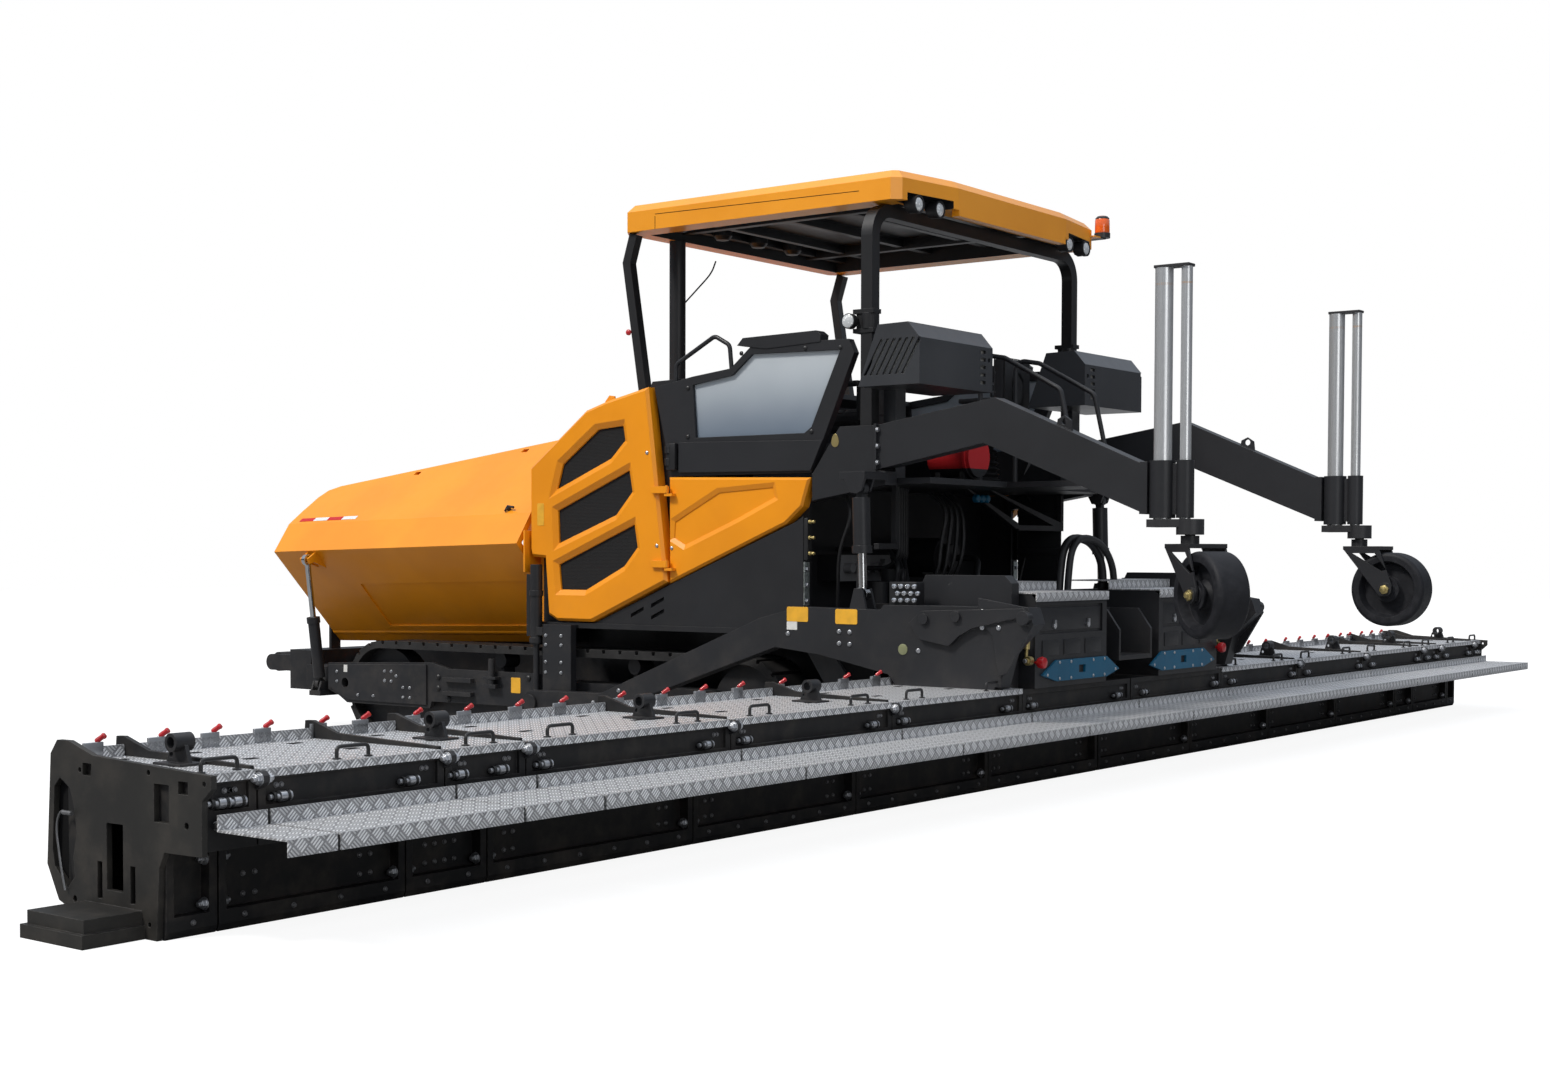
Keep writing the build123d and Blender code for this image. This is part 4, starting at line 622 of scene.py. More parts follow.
def toggle_clamps():
    """Galvanised latches on the front upstand with red grips. The outermost one is on the left side only."""
    bodies = Piece("clamp_bodies", "screed", "chrome", ZINC)
    grips = Piece("clamp_grips", "screed", "red_plastic", RED_GRIP)
    grip = [(0, 0.006), (0.004, 0.0105), (0.015, 0.0115), (0.032, 0.011), (0.044, 0.0135), (0.050, 0.010), (0.052, 0)]
    for side, y in ((side, y) for side in BOTH for y in (CLAMP_Y if side > 0 else CLAMP_Y[:-1])):
        bodies.block(0.592, 0.602, side * y - 0.045, side * y + 0.05, 0.672, 0.738, 0.002)
        bodies.block(0.598, 0.634, side * y - 0.018, side * y + 0.018, 0.700, 0.734, 0.003)
        lever, link, foot, tip = ([spot(x, side * (y + dy), z) for x, dy, z in path] for path in (
            ((0.620, 0.055, 0.690), (0.620, 0.010, 0.705), (0.618, -0.020, 0.735)),
            ((0.613, 0.075, 0.676), (0.613, 0.012, 0.700)), ((0.616, -0.022, 0.738),), ((0.582, -0.052, 0.770),)))
        bodies.tube(lever, 0.007)
        bodies.tube(link, 0.005)
        for dy in (-0.012, 0.030):
            bodies.turned([(0, 0.011), (0.044, 0.011)], spot(0.596, side * (y + dy), 0.700), (1, 0, 0), 10)
        grips.turned(grip, foot[0], tip[0] - foot[0], 12)


def hinge_sleeves():
    """Bright sleeves over the walkway hinges, each held to the beam by two black rings."""
    x, z, last = -0.266, 0.5565, 7.640             # the sleeves' axis, and where the outermost one starts
    pins = Piece("walkway_sleeves", "screed", "chrome", ZINC)
    rings = Piece("sleeve_rings", "screed", "black_steel", SATIN_BLACK)
    sleeve = [(0, 0.016), (0.003, 0.0215), (0.058, 0.0215), (0.061, 0.012), (0.107, 0.012), (0.110, 0)]
    for side in BOTH:
        for y in HINGE_Y:
            start, out = min(y + 0.005, last), Vector((0, side, 0))
            centre = spot(x, side * start, z)
            pins.turned(sleeve, centre, out)
            for reach, r in ((0.020, 0.023), (0.086, 0.020)):
                rings.turned([(-0.007, r), (-0.006, r + 0.001), (0.006, r + 0.001), (0.007, r)],
                             centre + out * reach, out)
                y0 = start + reach - 0.006
                rings.block(BEAM_REAR, BEAM_REAR + 0.030, y0, y0 + 0.012, 0.540, 0.562, 0.001, side)


def screed_fasteners():
    """Bolts of the flanged joints and their ears, and the small screws of the frame, lock plates and treads."""
    ears = Piece("flange_ears", "screed", "charcoal_paint", CHARCOAL)
    ear = [(-0.255, 0.590), (-0.292, 0.606), (-0.318, 0.625), (-0.318, 0.650), (-0.300, 0.668), (-0.255, 0.668)]
    outer, inner, small, tread = [], [], [], []
    for y in JOINTS:
        low = [(0.018, y + 0.047, y - 0.037, z) for z in (0.300, 0.118, 0.060)]
        for x, out, back, z in low + ([(-0.291, y + 0.017, y - 0.013, 0.637)] if y > 1.5 else []):
            outer.append((x, out, z))
            inner.append((x, back, z))
    for side in BOTH:
        for y in JOINTS[1:]:
            ears.prism("Y", ear, y - 0.013, y + 0.017, 0.002, side)
    for y0, y1 in WIDTHS:
        if y1 - y0 > 0.4:
            small += [(0.046, y, z) for y in (y0 + 0.16, y0 + 0.22, y1 - 0.22, y1 - 0.16) for z in (0.127, 0.210)]
        small += [(-0.2445, y, 0.600) for y in (y0 + 0.10, y0 + 0.125, y1 - 0.125, y1 - 0.10)]
        n = max(1, round((y1 - y0) / 0.25))
        small += [(FOOT_REAR, y0 + (y1 - y0) * (i + 0.5) / n, 0.055) for i in range(n)]
        if y0:
            tread += [(x, y, DECK) for x in (-0.20, 0.18, 0.54) for y in (y0 + 0.05, y1 - 0.05)]
    plates = [(-0.298, y, 0.745) for y in (0.30, 1.245)]
    plates += [(-0.298, y, z) for y in (0.46, 0.62, 0.93, 1.085) for z in (0.716, 0.822)]
    fasteners("flange_bolts", "screed", "chrome", ZINC, "nut", 0.042, {OUT: outer, IN: inner})
    fasteners("frame_screws", "screed", "chrome", DULL_ZINC, "hex", 0.020, {REAR: small})
    fasteners("lock_plate_screws", "screed", "chrome", ZINC, "dome", 0.022, {REAR: plates})
    fasteners("tread_rivets", "screed", "tread_plate", ZINC, "dome", 0.016, {UP: tread})


def deck_slots():
    """Painted shade for the hand holes in the tread plates: thin dark blocks on the deck where the holes are."""
    # painted shade: dark blocks stand for the holes
    piece = Piece("deck_slots", "screed", "black_steel", SHADOW_BLACK)
    for y0, y1 in WIDTHS[1:]:
        middle, reach = (y0 + y1) / 2, (y1 - y0) * 0.27
        for y in ((middle - reach, middle + reach) if y1 - y0 > 0.9 else (middle,)):
            for side in BOTH:
                for x in (0.08, 0.46):
                    piece.block(x - 0.018, x + 0.018, y - 0.034, y + 0.034, DECK - 0.001, DECK + 0.0022, 0.001, side)


def cover_details():
    """Lids, latches and hose gear on the two boxes of the basic screed, and the turnbuckles beside them."""
    lids = Piece("cover_lids", "screed", "charcoal_paint", CHARCOAL)
    zinc = Piece("cover_latches", "screed", "chrome", ZINC)
    brass = Piece("turnbuckles", "screed", "brass", BRASS)
    knobs = Piece("screed_knobs", "screed", "red_plastic", RED_GRIP)
    for side in BOTH:
        out = (0, side, 0)
        lids.block(-0.272, BEAM_REAR, 0.48, 1.30, 1.03, 1.18, 0.004, side)
        for y in (0.60, 0.89, 1.18):
            lids.block(-0.285, -0.280, y - 0.11, y + 0.11, 0.87, 0.97, 0.004, side)
        for y in (0.66, 1.12):
            zinc.turned([(0, 0.018), (0.012, 0.018), (0.016, 0.010)], spot(-0.272, side * y, 1.06), REAR, 14)
            zinc.block(-0.290, -0.272, y - 0.010, y + 0.010, 1.052, 1.100, 0.003, side)
        brass.turned([(0, 0.011), (0.05, 0.011), (0.055, 0.021), (0.20, 0.021), (0.205, 0.011), (0.26, 0.011)],
                     spot(BEAM_REAR, side * 1.44, 1.120), (0.05, 0, -1), 12)
        for z in (1.140, 0.845):
            brass.turned([(0, 0.030), (0.04, 0.030), (0.042, 0.018), (0.06, 0.018)],
                         spot(BEAM_REAR, side * 1.41, z), out, 16)
            zinc.turned([(0, 0.014), (0.018, 0.014), (0.02, 0)], spot(BEAM_REAR, side * 1.47, z), out, 6)
        knobs.turned([(0, 0.010), (0.02, 0.014), (0.03, 0.032), (0.055, 0.040), (0.075, 0.034), (0.082, 0)],
                     spot(-0.272, side * 1.37, 0.832), REAR, 18)


def arm_details():
    """What the tow arms carry outside: sight discs, bolt heads and blank plates."""
    discs = Piece("arm_sights", "screed", "brass", SIGHT)
    plates = Piece("arm_plates", "screed", "yellow_plate", LABEL)
    small = Piece("arm_tags", "screed", "white_plate", PALE_LABEL)
    face, bracket = 1.750, 1.772                   # outer faces of the arms and of their rear brackets
    for side in BOTH:
        discs.turned([(0, 0.036), (0.004, 0.036), (0.006, 0.030), (0.006, 0)], spot(0.488, side * face, 0.907),
                     (0, side, 0), 24)
        for x, z in ((1.340, 1.118), (0.938, 1.110)):
            plates.tag(x, z, 0.178, 0.100, 0.012, face, 0.0025, side)
        small.tag(1.386, 1.040, 0.088, 0.056, 0.006, face, 0.002, side)
    bolts = [(x, face, z) for x, z in ((0.371, 0.902), (0.996, 0.931), (0.911, 0.928), (0.996, 1.010), (0.911, 1.008),
                                      (1.42, 0.985), (3.20, 0.43), (3.05, 0.46), (2.95, 0.53))]
    bolts += [(x, bracket, z) for x in (-0.12, -0.24) for z in (1.165, 1.115, 1.065)]
    fasteners("arm_bolts", "screed", "chrome", ZINC, "hex", 0.026, {OUT: bolts})


def valve_bank():
    """Chrome hose couplings on a block beside each box."""
    couplings = Piece("valve_couplings", "screed", "chrome", CHROME_FITTING)
    block = Piece("valve_block", "screed", "black_steel", SATIN_BLACK)
    nipple = [(0, 0.011), (0.014, 0.011), (0.015, 0.0155), (0.026, 0.0155), (0.028, 0.009), (0.038, 0.009),
              (0.040, 0.013), (0.050, 0.013), (0.052, 0.007), (0.056, 0)]
    for side in BOTH:
        for row in range(3):
            for column in range(4):
                x, z = 0.600 - column * 0.052 - (row % 2) * 0.026, 1.222 + row * 0.045
                couplings.turned(nipple, spot(x, side * 1.700, z), (-0.7, side * 0.7, 0.12), 12)
        block.block(0.42, 0.63, 1.60, 1.702, 1.190, 1.345, 0.006, side)


def end_cable():
    """Thin spring-wound cable on each end plate, held at both ends."""
    cable = Piece("end_cable", "screed", "chrome", DULL_ZINC)
    for y in (7.788, -7.788):
        cable.hose([(0.585, y, 0.460), (0.640, y, 0.470), (0.672, y, 0.400), (0.640, y, 0.240), (0.610, y, 0.140)],
                   0.05, 0.005, 8)
        cable.turned([(0, 0.010), (0.06, 0.010)], spot(0.560, y, 0.460), (1, 0, 0), 10)


def mouldboard():
    """The curved plate across the screed's front, dark sheets of painted shade behind the end plates' arches, and the
    hopper fillers.
    """
    board = Piece("mouldboard", "screed", "black_steel", BLACK_STEEL)
    face = [(0.664, 0.100), (0.700, 0.125), (0.716, 0.220), (0.718, 0.350), (0.706, 0.500), (0.684, 0.620),
            (0.656, 0.690)]
    board.prism("Y", face + [(x - 0.010, z) for x, z in face[::-1]], -7.734, 7.734)
    # painted shade: dark sheets close the end plates' arches so they look dark inside
    shade_sheets = Piece("arch_backs", "screed", "black_steel", SHADOW_BLACK)
    filler = Piece("hopper_fillers", "tractor", "yellow_paint", YELLOW)
    for side in BOTH:
        shade_sheets.block(0.540, 0.736, 7.736, 7.744, 0.140, 0.620, 0.001, side)
        filler.block(4.090, 4.108, 1.360, 1.548, 1.380, 1.700, 0.003, side)


# ---------------------------------------------------------------- tractor fittings
DOOR_FACE, PANEL_FACE, WINDOW_FACE = 1.510, 1.490, 1.460
GRILLES = (((3.750, 2.200), (3.390, 2.450), (3.140, 2.470), (3.120, 2.360), (3.260, 2.230), (3.810, 2.010)),
           ((3.800, 1.850), (3.080, 2.140), (3.050, 1.980), (3.210, 1.810), (3.790, 1.600)),
           ((3.790, 1.440), (3.030, 1.740), (3.000, 1.570), (3.130, 1.430), (3.510, 1.250), (3.770, 1.250)))
WING_FRONT, RISE = 7.010, 0.024                    # the lid's front end, and how fast it climbs to the rear
LID = ((1.440, 1.770), (0.450, 2.531))             # the lid's outer face at its front end: crease, and where it aims
WHEEL_YAW = {"left": math.radians(-33), "right": 0.0}


def shrunk(outline, by):
    """An outline drawn in towards its middle."""
    cu, cv = (sum(axis) / len(outline) for axis in zip(*outline))
    return [(u + (cu - u) * by, v + (cv - v) * by) for u, v in outline]


def grille_mesh():
    for name, side in SIDES.items():
        mesh = Piece("grille_mesh_" + name, "side_door_" + name, "black_mesh", MESH)
        for outline in GRILLES:
            mesh.prism("Y", shrunk(outline, 0.004), DOOR_FACE - 0.046, DOOR_FACE - 0.040, 0, side)


def panel_plates():
    """Blank dark plate in the rear panel's recess, blank yellow plate on the door."""
    plate = Piece("panel_plates", "tractor", "dark_plastic", GLOSS_BLACK)
    outline = [(2.600, 1.660), (2.625, 1.745), (2.260, 1.885), (2.020, 1.890), (2.240, 1.790)]
    for name, side in SIDES.items():
        plate.prism("Y", outline, PANEL_FACE - 0.040, PANEL_FACE - 0.034, 0.001, side)
        label = Piece("door_plate_" + name, "side_door_" + name, "yellow_plate", LABEL)
        label.tag(3.958, 1.822, 0.070, 0.170, 0.010, DOOR_FACE, 0.002, side)


def side_hardware():
    """Hinges of the belt panels, galvanised strips, brass-tipped pins, bolts and screws."""
    dark = Piece("belt_hinges", "tractor", "charcoal_paint", SATIN_BLACK)
    zinc = Piece("galvanised_strips", "tractor", "chrome", GALVANISED)
    brass = Piece("service_points", "tractor", "brass", BRASS)
    pin = [(0, 0.016), (0.016, 0.016), (0.018, 0.010), (0.034, 0.010), (0.036, 0.013), (0.046, 0.012), (0.050, 0)]
    for side in BOTH:
        dark.block(2.628, 2.712, 1.462, 1.506, 2.130, 2.325, 0.010, side)
        for z in (2.165, 2.255):
            dark.turned([(0, 0.021), (0.05, 0.021)], spot(2.700, side * 1.500, z), UP, 14)
        dark.block(1.462, 1.500, 1.412, 1.470, 1.480, 1.775, 0.012, side)
        zinc.block(1.492, 1.499, 1.404, 1.466, 1.168, 1.470, 0.002, side)
        for z in (1.528, 1.637, 1.747):
            brass.turned(pin, spot(1.464, side * 1.448, z), REAR, 12)
    for name, side in SIDES.items():
        fasteners("door_screws_" + name, "side_door_" + name, "chrome", ZINC, "dome", 0.030,
                  {OUT: [(2.888, DOOR_FACE, 2.262), (2.792, DOOR_FACE, 1.582)]}, (side,))
    fasteners("panel_screws", "tractor", "chrome", ZINC, "dome", 0.030, {OUT: [(2.668, PANEL_FACE, 1.565)]})
    window = [(x, WINDOW_FACE, z) for x, z in ((2.542, 2.719), (2.052, 2.940), (1.495, 2.943), (1.200, 2.930),
                                               (1.440, 2.368), (2.542, 2.369))]
    fasteners("window_screws", "tractor", "charcoal_paint", SATIN_BLACK, "dome", 0.034, {OUT: window})
    flange = [(0.880, 1.482, z) for z in (2.14, 2.25, 2.36)] + [(1.492, 1.435, z) for z in (1.20, 1.31, 1.42)]
    fasteners("beam_flange_bolts", "tractor", "chrome", ZINC, "hex", 0.032, {REAR: flange})


def hood_lugs():
    """Two yellow hinge lugs a side on the hood's crown, and the black filler cap."""
    lugs = Piece("hood_lugs", "tractor", "yellow_paint", YELLOW)
    cap = Piece("filler_cap", "tractor", "dark_plastic", PLASTIC)
    outline = ((-0.5, 0), (0.5, 0), (0.42, 0.62), (0.10, 0.95), (-0.30, 0.90))
    for side in BOTH:
        for x, z, size in ((3.385, 2.59, 0.13), (3.070, 2.68, 0.09)):
            lugs.prism("Y", [(x + size * u, z + size * v) for u, v in outline], 1.340, 1.352, 0.002, side)
            lugs.block(x - size * 0.55, x + size * 0.55, 1.300, 1.390, z - 0.03, z + 0.012, 0.003, side)
    cap.turned([(0, 0.012), (0.055, 0.012), (0.058, 0.026), (0.078, 0.028), (0.088, 0.018), (0.09, 0)],
               spot(3.345, 1.30, 2.60), UP, 16)


def lid_point(x, up, off, side):
    """A point on the hopper lid: station, distance up from the crease, distance off the outer face."""
    (y0, z0), (y1, z1) = LID
    reach = math.hypot(y1 - y0, z1 - z0)
    ay, az = (y1 - y0) / reach, (z1 - z0) / reach
    ny, nz = az, -ay
    return spot(x, side * (y0 + ay * up + ny * off), z0 + az * up + nz * off + (WING_FRONT - x) * RISE)


def wing_strips():
    """Red and white reflective strips along the hopper sides, above the crease, and a hook at the rear."""
    long = 0.180
    for name, side in SIDES.items():
        for first, tint, material in ((0, "red", REFLEX_RED), (1, "white", REFLEX_WHITE)):
            piece = Piece(f"strip_{tint}_{name}", "wing_" + name, tint + "_reflector", material)
            for i in (first, first + 2):
                x0, x1 = 6.900 - i * long, 6.904 - (i + 1) * long
                corners = ((x0, 0.028), (x1, 0.028), (x1, 0.072), (x0, 0.072))
                piece.skin([[lid_point(x, up, off, side) for x, up in corners] for off in (0.0006, 0.0024)])
        hook = Piece("wing_hook_" + name, "wing_" + name, "charcoal_paint", SATIN_BLACK)
        hook.tube([lid_point(x, up, off, side) for x, up, off in
                   ((4.420, 0.020, 0.010), (4.400, 0.055, 0.034), (4.330, 0.040, 0.030))], 0.010)
        off_face = lid_point(4.400, 0, 1, side) - lid_point(4.400, 0, 0, side)
        hook.turned([(0, 0.018), (0.03, 0.018)], lid_point(4.400, 0.050, -0.002, side), off_face, 12)


def canopy_details():
    """Liner and cross ribs under the roof, seams in its skin, lamps' glasses, beacon and side markers."""
    liner = Piece("roof_liner", "tractor", "dark_plastic", SATIN_BLACK)
    liner.block(0.902, 3.118, -1.198, 1.198, 4.040, 4.0725)
    for y in (-0.80, 0.80):
        liner.block(0.902, 3.118, y - 0.035, y + 0.035, 3.960, 4.045, 0.004)
    for x in (1.05, 1.62, 2.18, 2.75, 3.04):
        liner.block(x - 0.03, x + 0.03, -1.198, 1.198, 3.975, 4.045, 0.004)
    for y in (1.06, 0.55, 0.10, -0.35):
        liner.turned([(0, 0), (0.01, 0.05), (0.04, 0.075), (0.09, 0.075), (0.11, 0.05)], spot(2.95, y, 3.925), UP, 16)
    seam = Piece("roof_seams", "tractor", "dark_plastic", SHADOW_BLACK)
    glass = Piece("work_lamp_lenses", "tractor", "lamp_glass", LENS)
    rims = Piece("work_lamp_rims", "tractor", "dark_plastic", PLASTIC)
    marker = Piece("side_markers", "tractor", "red_plastic", RED_GRIP)
    for side in BOTH:
        seam.block(2.909, 2.913, 1.3945, 1.3962, 3.906, 4.000, 0, side)
        seam.prism("Y", [(1.096, 3.984), (2.911, 4.013), (2.911, 4.017), (1.096, 3.988)], 1.3945, 1.3962, 0, side)
        for y in (side * 0.922, side * 1.188):
            glass.turned([(0, 0.050), (0.008, 0.048), (0.016, 0.038), (0.020, 0.020), (0.021, 0)],
                         spot(0.7545, y, 3.890), REAR, 24)
            rims.turned([(0, 0.060), (0.026, 0.060), (0.026, 0.051), (0.004, 0.051), (0.004, 0)],
                        spot(0.766, y, 3.890), REAR, 24)
        out = (0, side, 0)
        glass.turned([(0, 0.046), (0.006, 0.044), (0.011, 0.032), (0.013, 0)],
                     spot(1.115, side * 1.492, 3.100), out, 24)
        marker.turned([(0, 0.022), (0.012, 0.022), (0.020, 0.012), (0.022, 0)],
                      spot(3.185, side * 1.370, 3.170), out, 16)
    dome = Piece("beacon_glass", "tractor", "amber_glass", AMBER)
    dome.turned([(0, 0.056), (0.008, 0.058), (0.100, 0.0565), (0.120, 0.050), (0.134, 0.030), (0.137, 0)],
                spot(0.750, -1.460, 4.0425), UP, 28)


def fan_screens():
    """Pale filter mats behind the louvres of the rear boxes."""
    mats = Piece("filter_mats", "tractor", "filter_mat", MAT)
    outline = [(0.500, 2.675), (0.900, 2.675), (0.790, 3.010), (0.570, 3.010), (0.500, 2.930)]
    for side in BOTH:
        mats.prism("Y", outline, 1.562, 1.578, 0, side)
        mats.block(0.494, 0.508, 0.74, 0.86, 2.670, 2.940, 0, side)


def post_details():
    """Ring marks on the chrome tubes of the support wheels."""
    for name, side in SIDES.items():
        rings = Piece("post_rings_" + name, "post_" + name, "brass", RING)
        for x, r in ((-1.175, 0.0552), (-1.325, 0.0342)):
            for z in (3.165, 3.172):
                rings.turned([(0, r), (0.0022, r)], spot(x, side * 1.41, z), UP, 28)


def cylinder_hoses():
    """Hydraulic hoses beside the lift cylinders."""
    hose = Piece("lift_hoses", "tractor", "hose_rubber", HOSE)
    for side in BOTH:
        for bend, r, corners in (
                (0.12, 0.011, ((1.08, 1.30, 1.99), (1.10, 1.36, 1.62), (1.12, 1.36, 1.25), (1.16, 1.30, 1.0))),
                (0.14, 0.013, ((1.30, 1.28, 1.99), (1.18, 1.33, 1.80), (1.32, 1.30, 1.55), (1.40, 1.20, 1.0)))):
            hose.hose([(x, side * y, z) for x, y, z in corners], bend, r)


def tower_tags():
    """A blank egg-shaped tag on each tower."""
    tags = Piece("tower_tags", "tractor", "brass", BRASS)
    egg = [(1.232 + 0.030 * math.cos(a) * (1 - 0.25 * math.sin(a)), 2.300 + 0.046 * math.sin(a))
           for a in (2 * math.pi * i / 18 for i in range(18))]
    for side in BOTH:
        tags.prism("Y", egg, 1.4702, 1.473, 0, side)


def track_rail_details():
    """Bolts, caps and blank plates of the rails outside the tracks."""
    inner, outer, bracket = 1.500, 1.514, 1.560    # the faces they sit on
    bolts = [(x, inner, z) for x, z in ((6.37, 0.53), (6.37, 0.45))]
    bolts += [(x, outer, z) for x, z in ((6.31, 0.53), (6.31, 0.45), (6.05, 0.345), (5.86, 0.345), (5.58, 0.52))]
    bolts += [(x + dx, outer, z + dz) for x, z in ((5.64, 0.475), (5.42, 0.35)) for dx in (0, 0.08) for dz in (0, 0.08)]
    bolts += [(x, bracket, z) for x in (3.70, 3.86) for z in (0.62, 0.70, 0.83, 0.90)]
    fasteners("rail_bolts", "tractor", "chrome", ZINC, "hex", 0.022, {OUT: bolts})
    caps = [(x, inner, z) for x, z in ((5.10, 0.44), (5.10, 0.53), (4.98, 0.36), (4.10, 0.56), (4.10, 0.38))]
    fasteners("rail_caps", "tractor", "charcoal_paint", SATIN_BLACK, "dome", 0.05, {OUT: caps})
    plate = Piece("rail_plates", "tractor", "yellow_plate", LABEL)
    reflection_and_haze = Piece("rail_tags", "tractor", "white_plate", PALE_LABEL)
    for side in BOTH:
        plate.tag(4.235, 0.500, 0.100, 0.120, 0.008, inner, 0.002, side)
        reflection_and_haze.tag(6.200, 0.560, 0.045, 0.060, 0.004, outer, 0.002, side)


# ---------------------------------------------------------------- operator's station
SEAT = ((1.262, 1.738), 0.218, (2.432, 2.532))     # cushion: its reach in X, half its width, its heights
REST = ((1.190, 1.282), 0.208, (2.545, 3.050))     # back rest
SEAT_Y = 0.9                                       # middle of each seat
PIPING = 0.035                                     # corner radius of the piping
PUFF = 0.012                                       # the most that a cushion may swell


def foam(name, x, half, z, soft):
    """A block of foam with rounded corners, remeshed fine and blown up a little by cloth pressure."""
    form = bmesh.new()
    bmesh.ops.create_cube(form, size=1.0)
    size = Vector((x[1] - x[0], 2 * half, z[1] - z[0]))
    bmesh.ops.scale(form, vec=size, verts=form.verts)
    bmesh.ops.bevel(form, geom=list(form.edges), offset=soft, segments=4, affect="EDGES", profile=0.5,
                    clamp_overlap=True)
    data = bpy.data.meshes.new(name)
    form.to_mesh(data)
    form.free()
    block = placed(name + "_block", data)
    remesh = block.modifiers.new("fine", "REMESH")
    remesh.mode, remesh.voxel_size = "VOXEL", 0.006
    fine = bpy.data.meshes.new_from_object(block.evaluated_get(bpy.context.evaluated_depsgraph_get()))
    block.modifiers.remove(remesh)
    block.data = fine
    still = [v.co.copy() for v in fine.vertices]
    puffed = still
    cloth = block.modifiers.new("cloth", "CLOTH")
    cloth.settings.use_pressure = True
    cloth.settings.uniform_pressure_force = 4.0
    cloth.settings.effector_weights.gravity = 0.0
    cloth.settings.mass = 0.3
    for number in range(1, 21):
        bpy.context.scene.frame_set(number)
    blown = block.evaluated_get(bpy.context.evaluated_depsgraph_get()).to_mesh()
    puffed = [v.co.copy() for v in blown.vertices]
    bpy.context.scene.frame_set(1)
    block.modifiers.remove(cloth)
    points = []
    for a, b in zip(still, puffed):
        move = b - a
        points.append(a + (move.normalized() * min(move.length, PUFF) if move.length else move))
    bpy.data.objects.remove(block)
    fine.vertices.foreach_set("co", [c for p in points for c in p])
    return fine, size


def sewn(data, size, face, seams):
    """Presses the seams into one face: face is the axis it looks along, seams are (axis, place, depth)."""
    for v in data.vertices:
        share = max(0.0, v.co[face] / (size[face] / 2) - 0.45) / 0.55
        if share > 0:
            crown = max(depth * math.exp(-((v.co[axis] - place) / 0.007) ** 2) for axis, place, depth in seams)
            v.co[face] -= crown * min(1.0, share * 2)


def cushion(name, data, x, z, side):
    copy = data.copy()
    copy.transform(Matrix.Translation(spot(x, side * SEAT_Y, z)))
    thing = settle(name, copy, "tractor", "seat_cover", SEAT_CLOTH, 60)
    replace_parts(thing, "seats")


def seats():
    """Two seats on bellows, with sewn pads and back rests, arm rests and a joystick each."""
    (x0, x1), half, (z0, z1) = SEAT
    (u0, u1), rest_half, (w0, w1) = REST
    x, z, u, w = (x0 + x1) / 2, (z0 + z1) / 2, (u0 + u1) / 2, (w0 + w1) / 2
    pad, size = foam("seat_pad", (x0, x1), half, (z0, z1), 0.034)
    sewn(pad, size, 2, [(1, -0.125, 0.011), (1, 0.125, 0.011), (0, -0.08, 0.008), (0, 0.06, 0.008)])
    rest, rest_size = foam("seat_rest", (u0, u1), rest_half, (w0, w1), 0.030)
    sewn(rest, rest_size, 0, [(1, -0.12, 0.010), (1, 0.12, 0.010), (2, 0.13, 0.010), (2, -0.02, 0.007),
                              (2, -0.14, 0.007)])
    shell = Piece("seat_frames", "tractor", "dark_plastic", PLASTIC)
    pipes = Piece("seat_piping", "tractor", "seat_cover", VINYL)
    bellows = [(0, 0.19), (0.018, 0.19)]
    for i in range(7):
        fold = 0.02 + i * 0.045
        bellows += [(fold, 0.165 - 0.006 * i), (fold + 0.022, 0.128 - 0.006 * i)]
    bellows.append((0.352, 0.11))
    stick = [(0, 0.026), (0.018, 0.020), (0.030, 0.024), (0.042, 0.014), (0.090, 0.011), (0.098, 0.020), (0.140, 0.021),
             (0.152, 0)]
    over_pad = rounded_box(0, 0, x1 - x0 + 0.004, 2 * half + 0.004, PIPING, 5)
    over_rest = rounded_box(0, 0, w1 - w0 + 0.004, 2 * rest_half + 0.004, PIPING, 5)
    for name, side in SIDES.items():
        cushion("seat_pad_" + name, pad, x, z, side)
        cushion("seat_rest_" + name, rest, u, w, side)
        y = side * SEAT_Y
        shell.block(x0 + 0.01, x1 - 0.02, y - 0.20, y + 0.20, 2.392, 2.428, 0.010)
        shell.block(u0 - 0.012, u0 - 0.002, y - 0.19, y + 0.19, 2.50, 3.03, 0.004)
        shell.block(u0 - 0.004, u1 - 0.02, y - 0.17, y + 0.17, 2.40, 2.53, 0.006)
        shell.turned(bellows, spot(1.50, y, 2.041), UP, 28)
        for arm in (y - 0.225, y + 0.225):
            shell.block(1.262, 1.290, arm - 0.010, arm + 0.010, 2.46, 2.70, 0.004)
        for arm in (y - 0.228, y + 0.228):
            shell.block(1.262, 1.560, arm - 0.028, arm + 0.028, 2.695, 2.735, 0.014)
        shell.turned(stick, spot(1.540, y + side * 0.228, 2.735), (0.1, 0, 1), 16)
        pipes.tube([spot(x + a, y + b, z1 - 0.018) for a, b in over_pad + over_pad[:2]], 0.0045, 6)
        pipes.tube([spot(u1 - 0.018, y + b, w + a) for a, b in over_rest + over_rest[:2]], 0.0045, 6)
    for p in (shell, pipes):
        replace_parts(p.finish(), "seats")


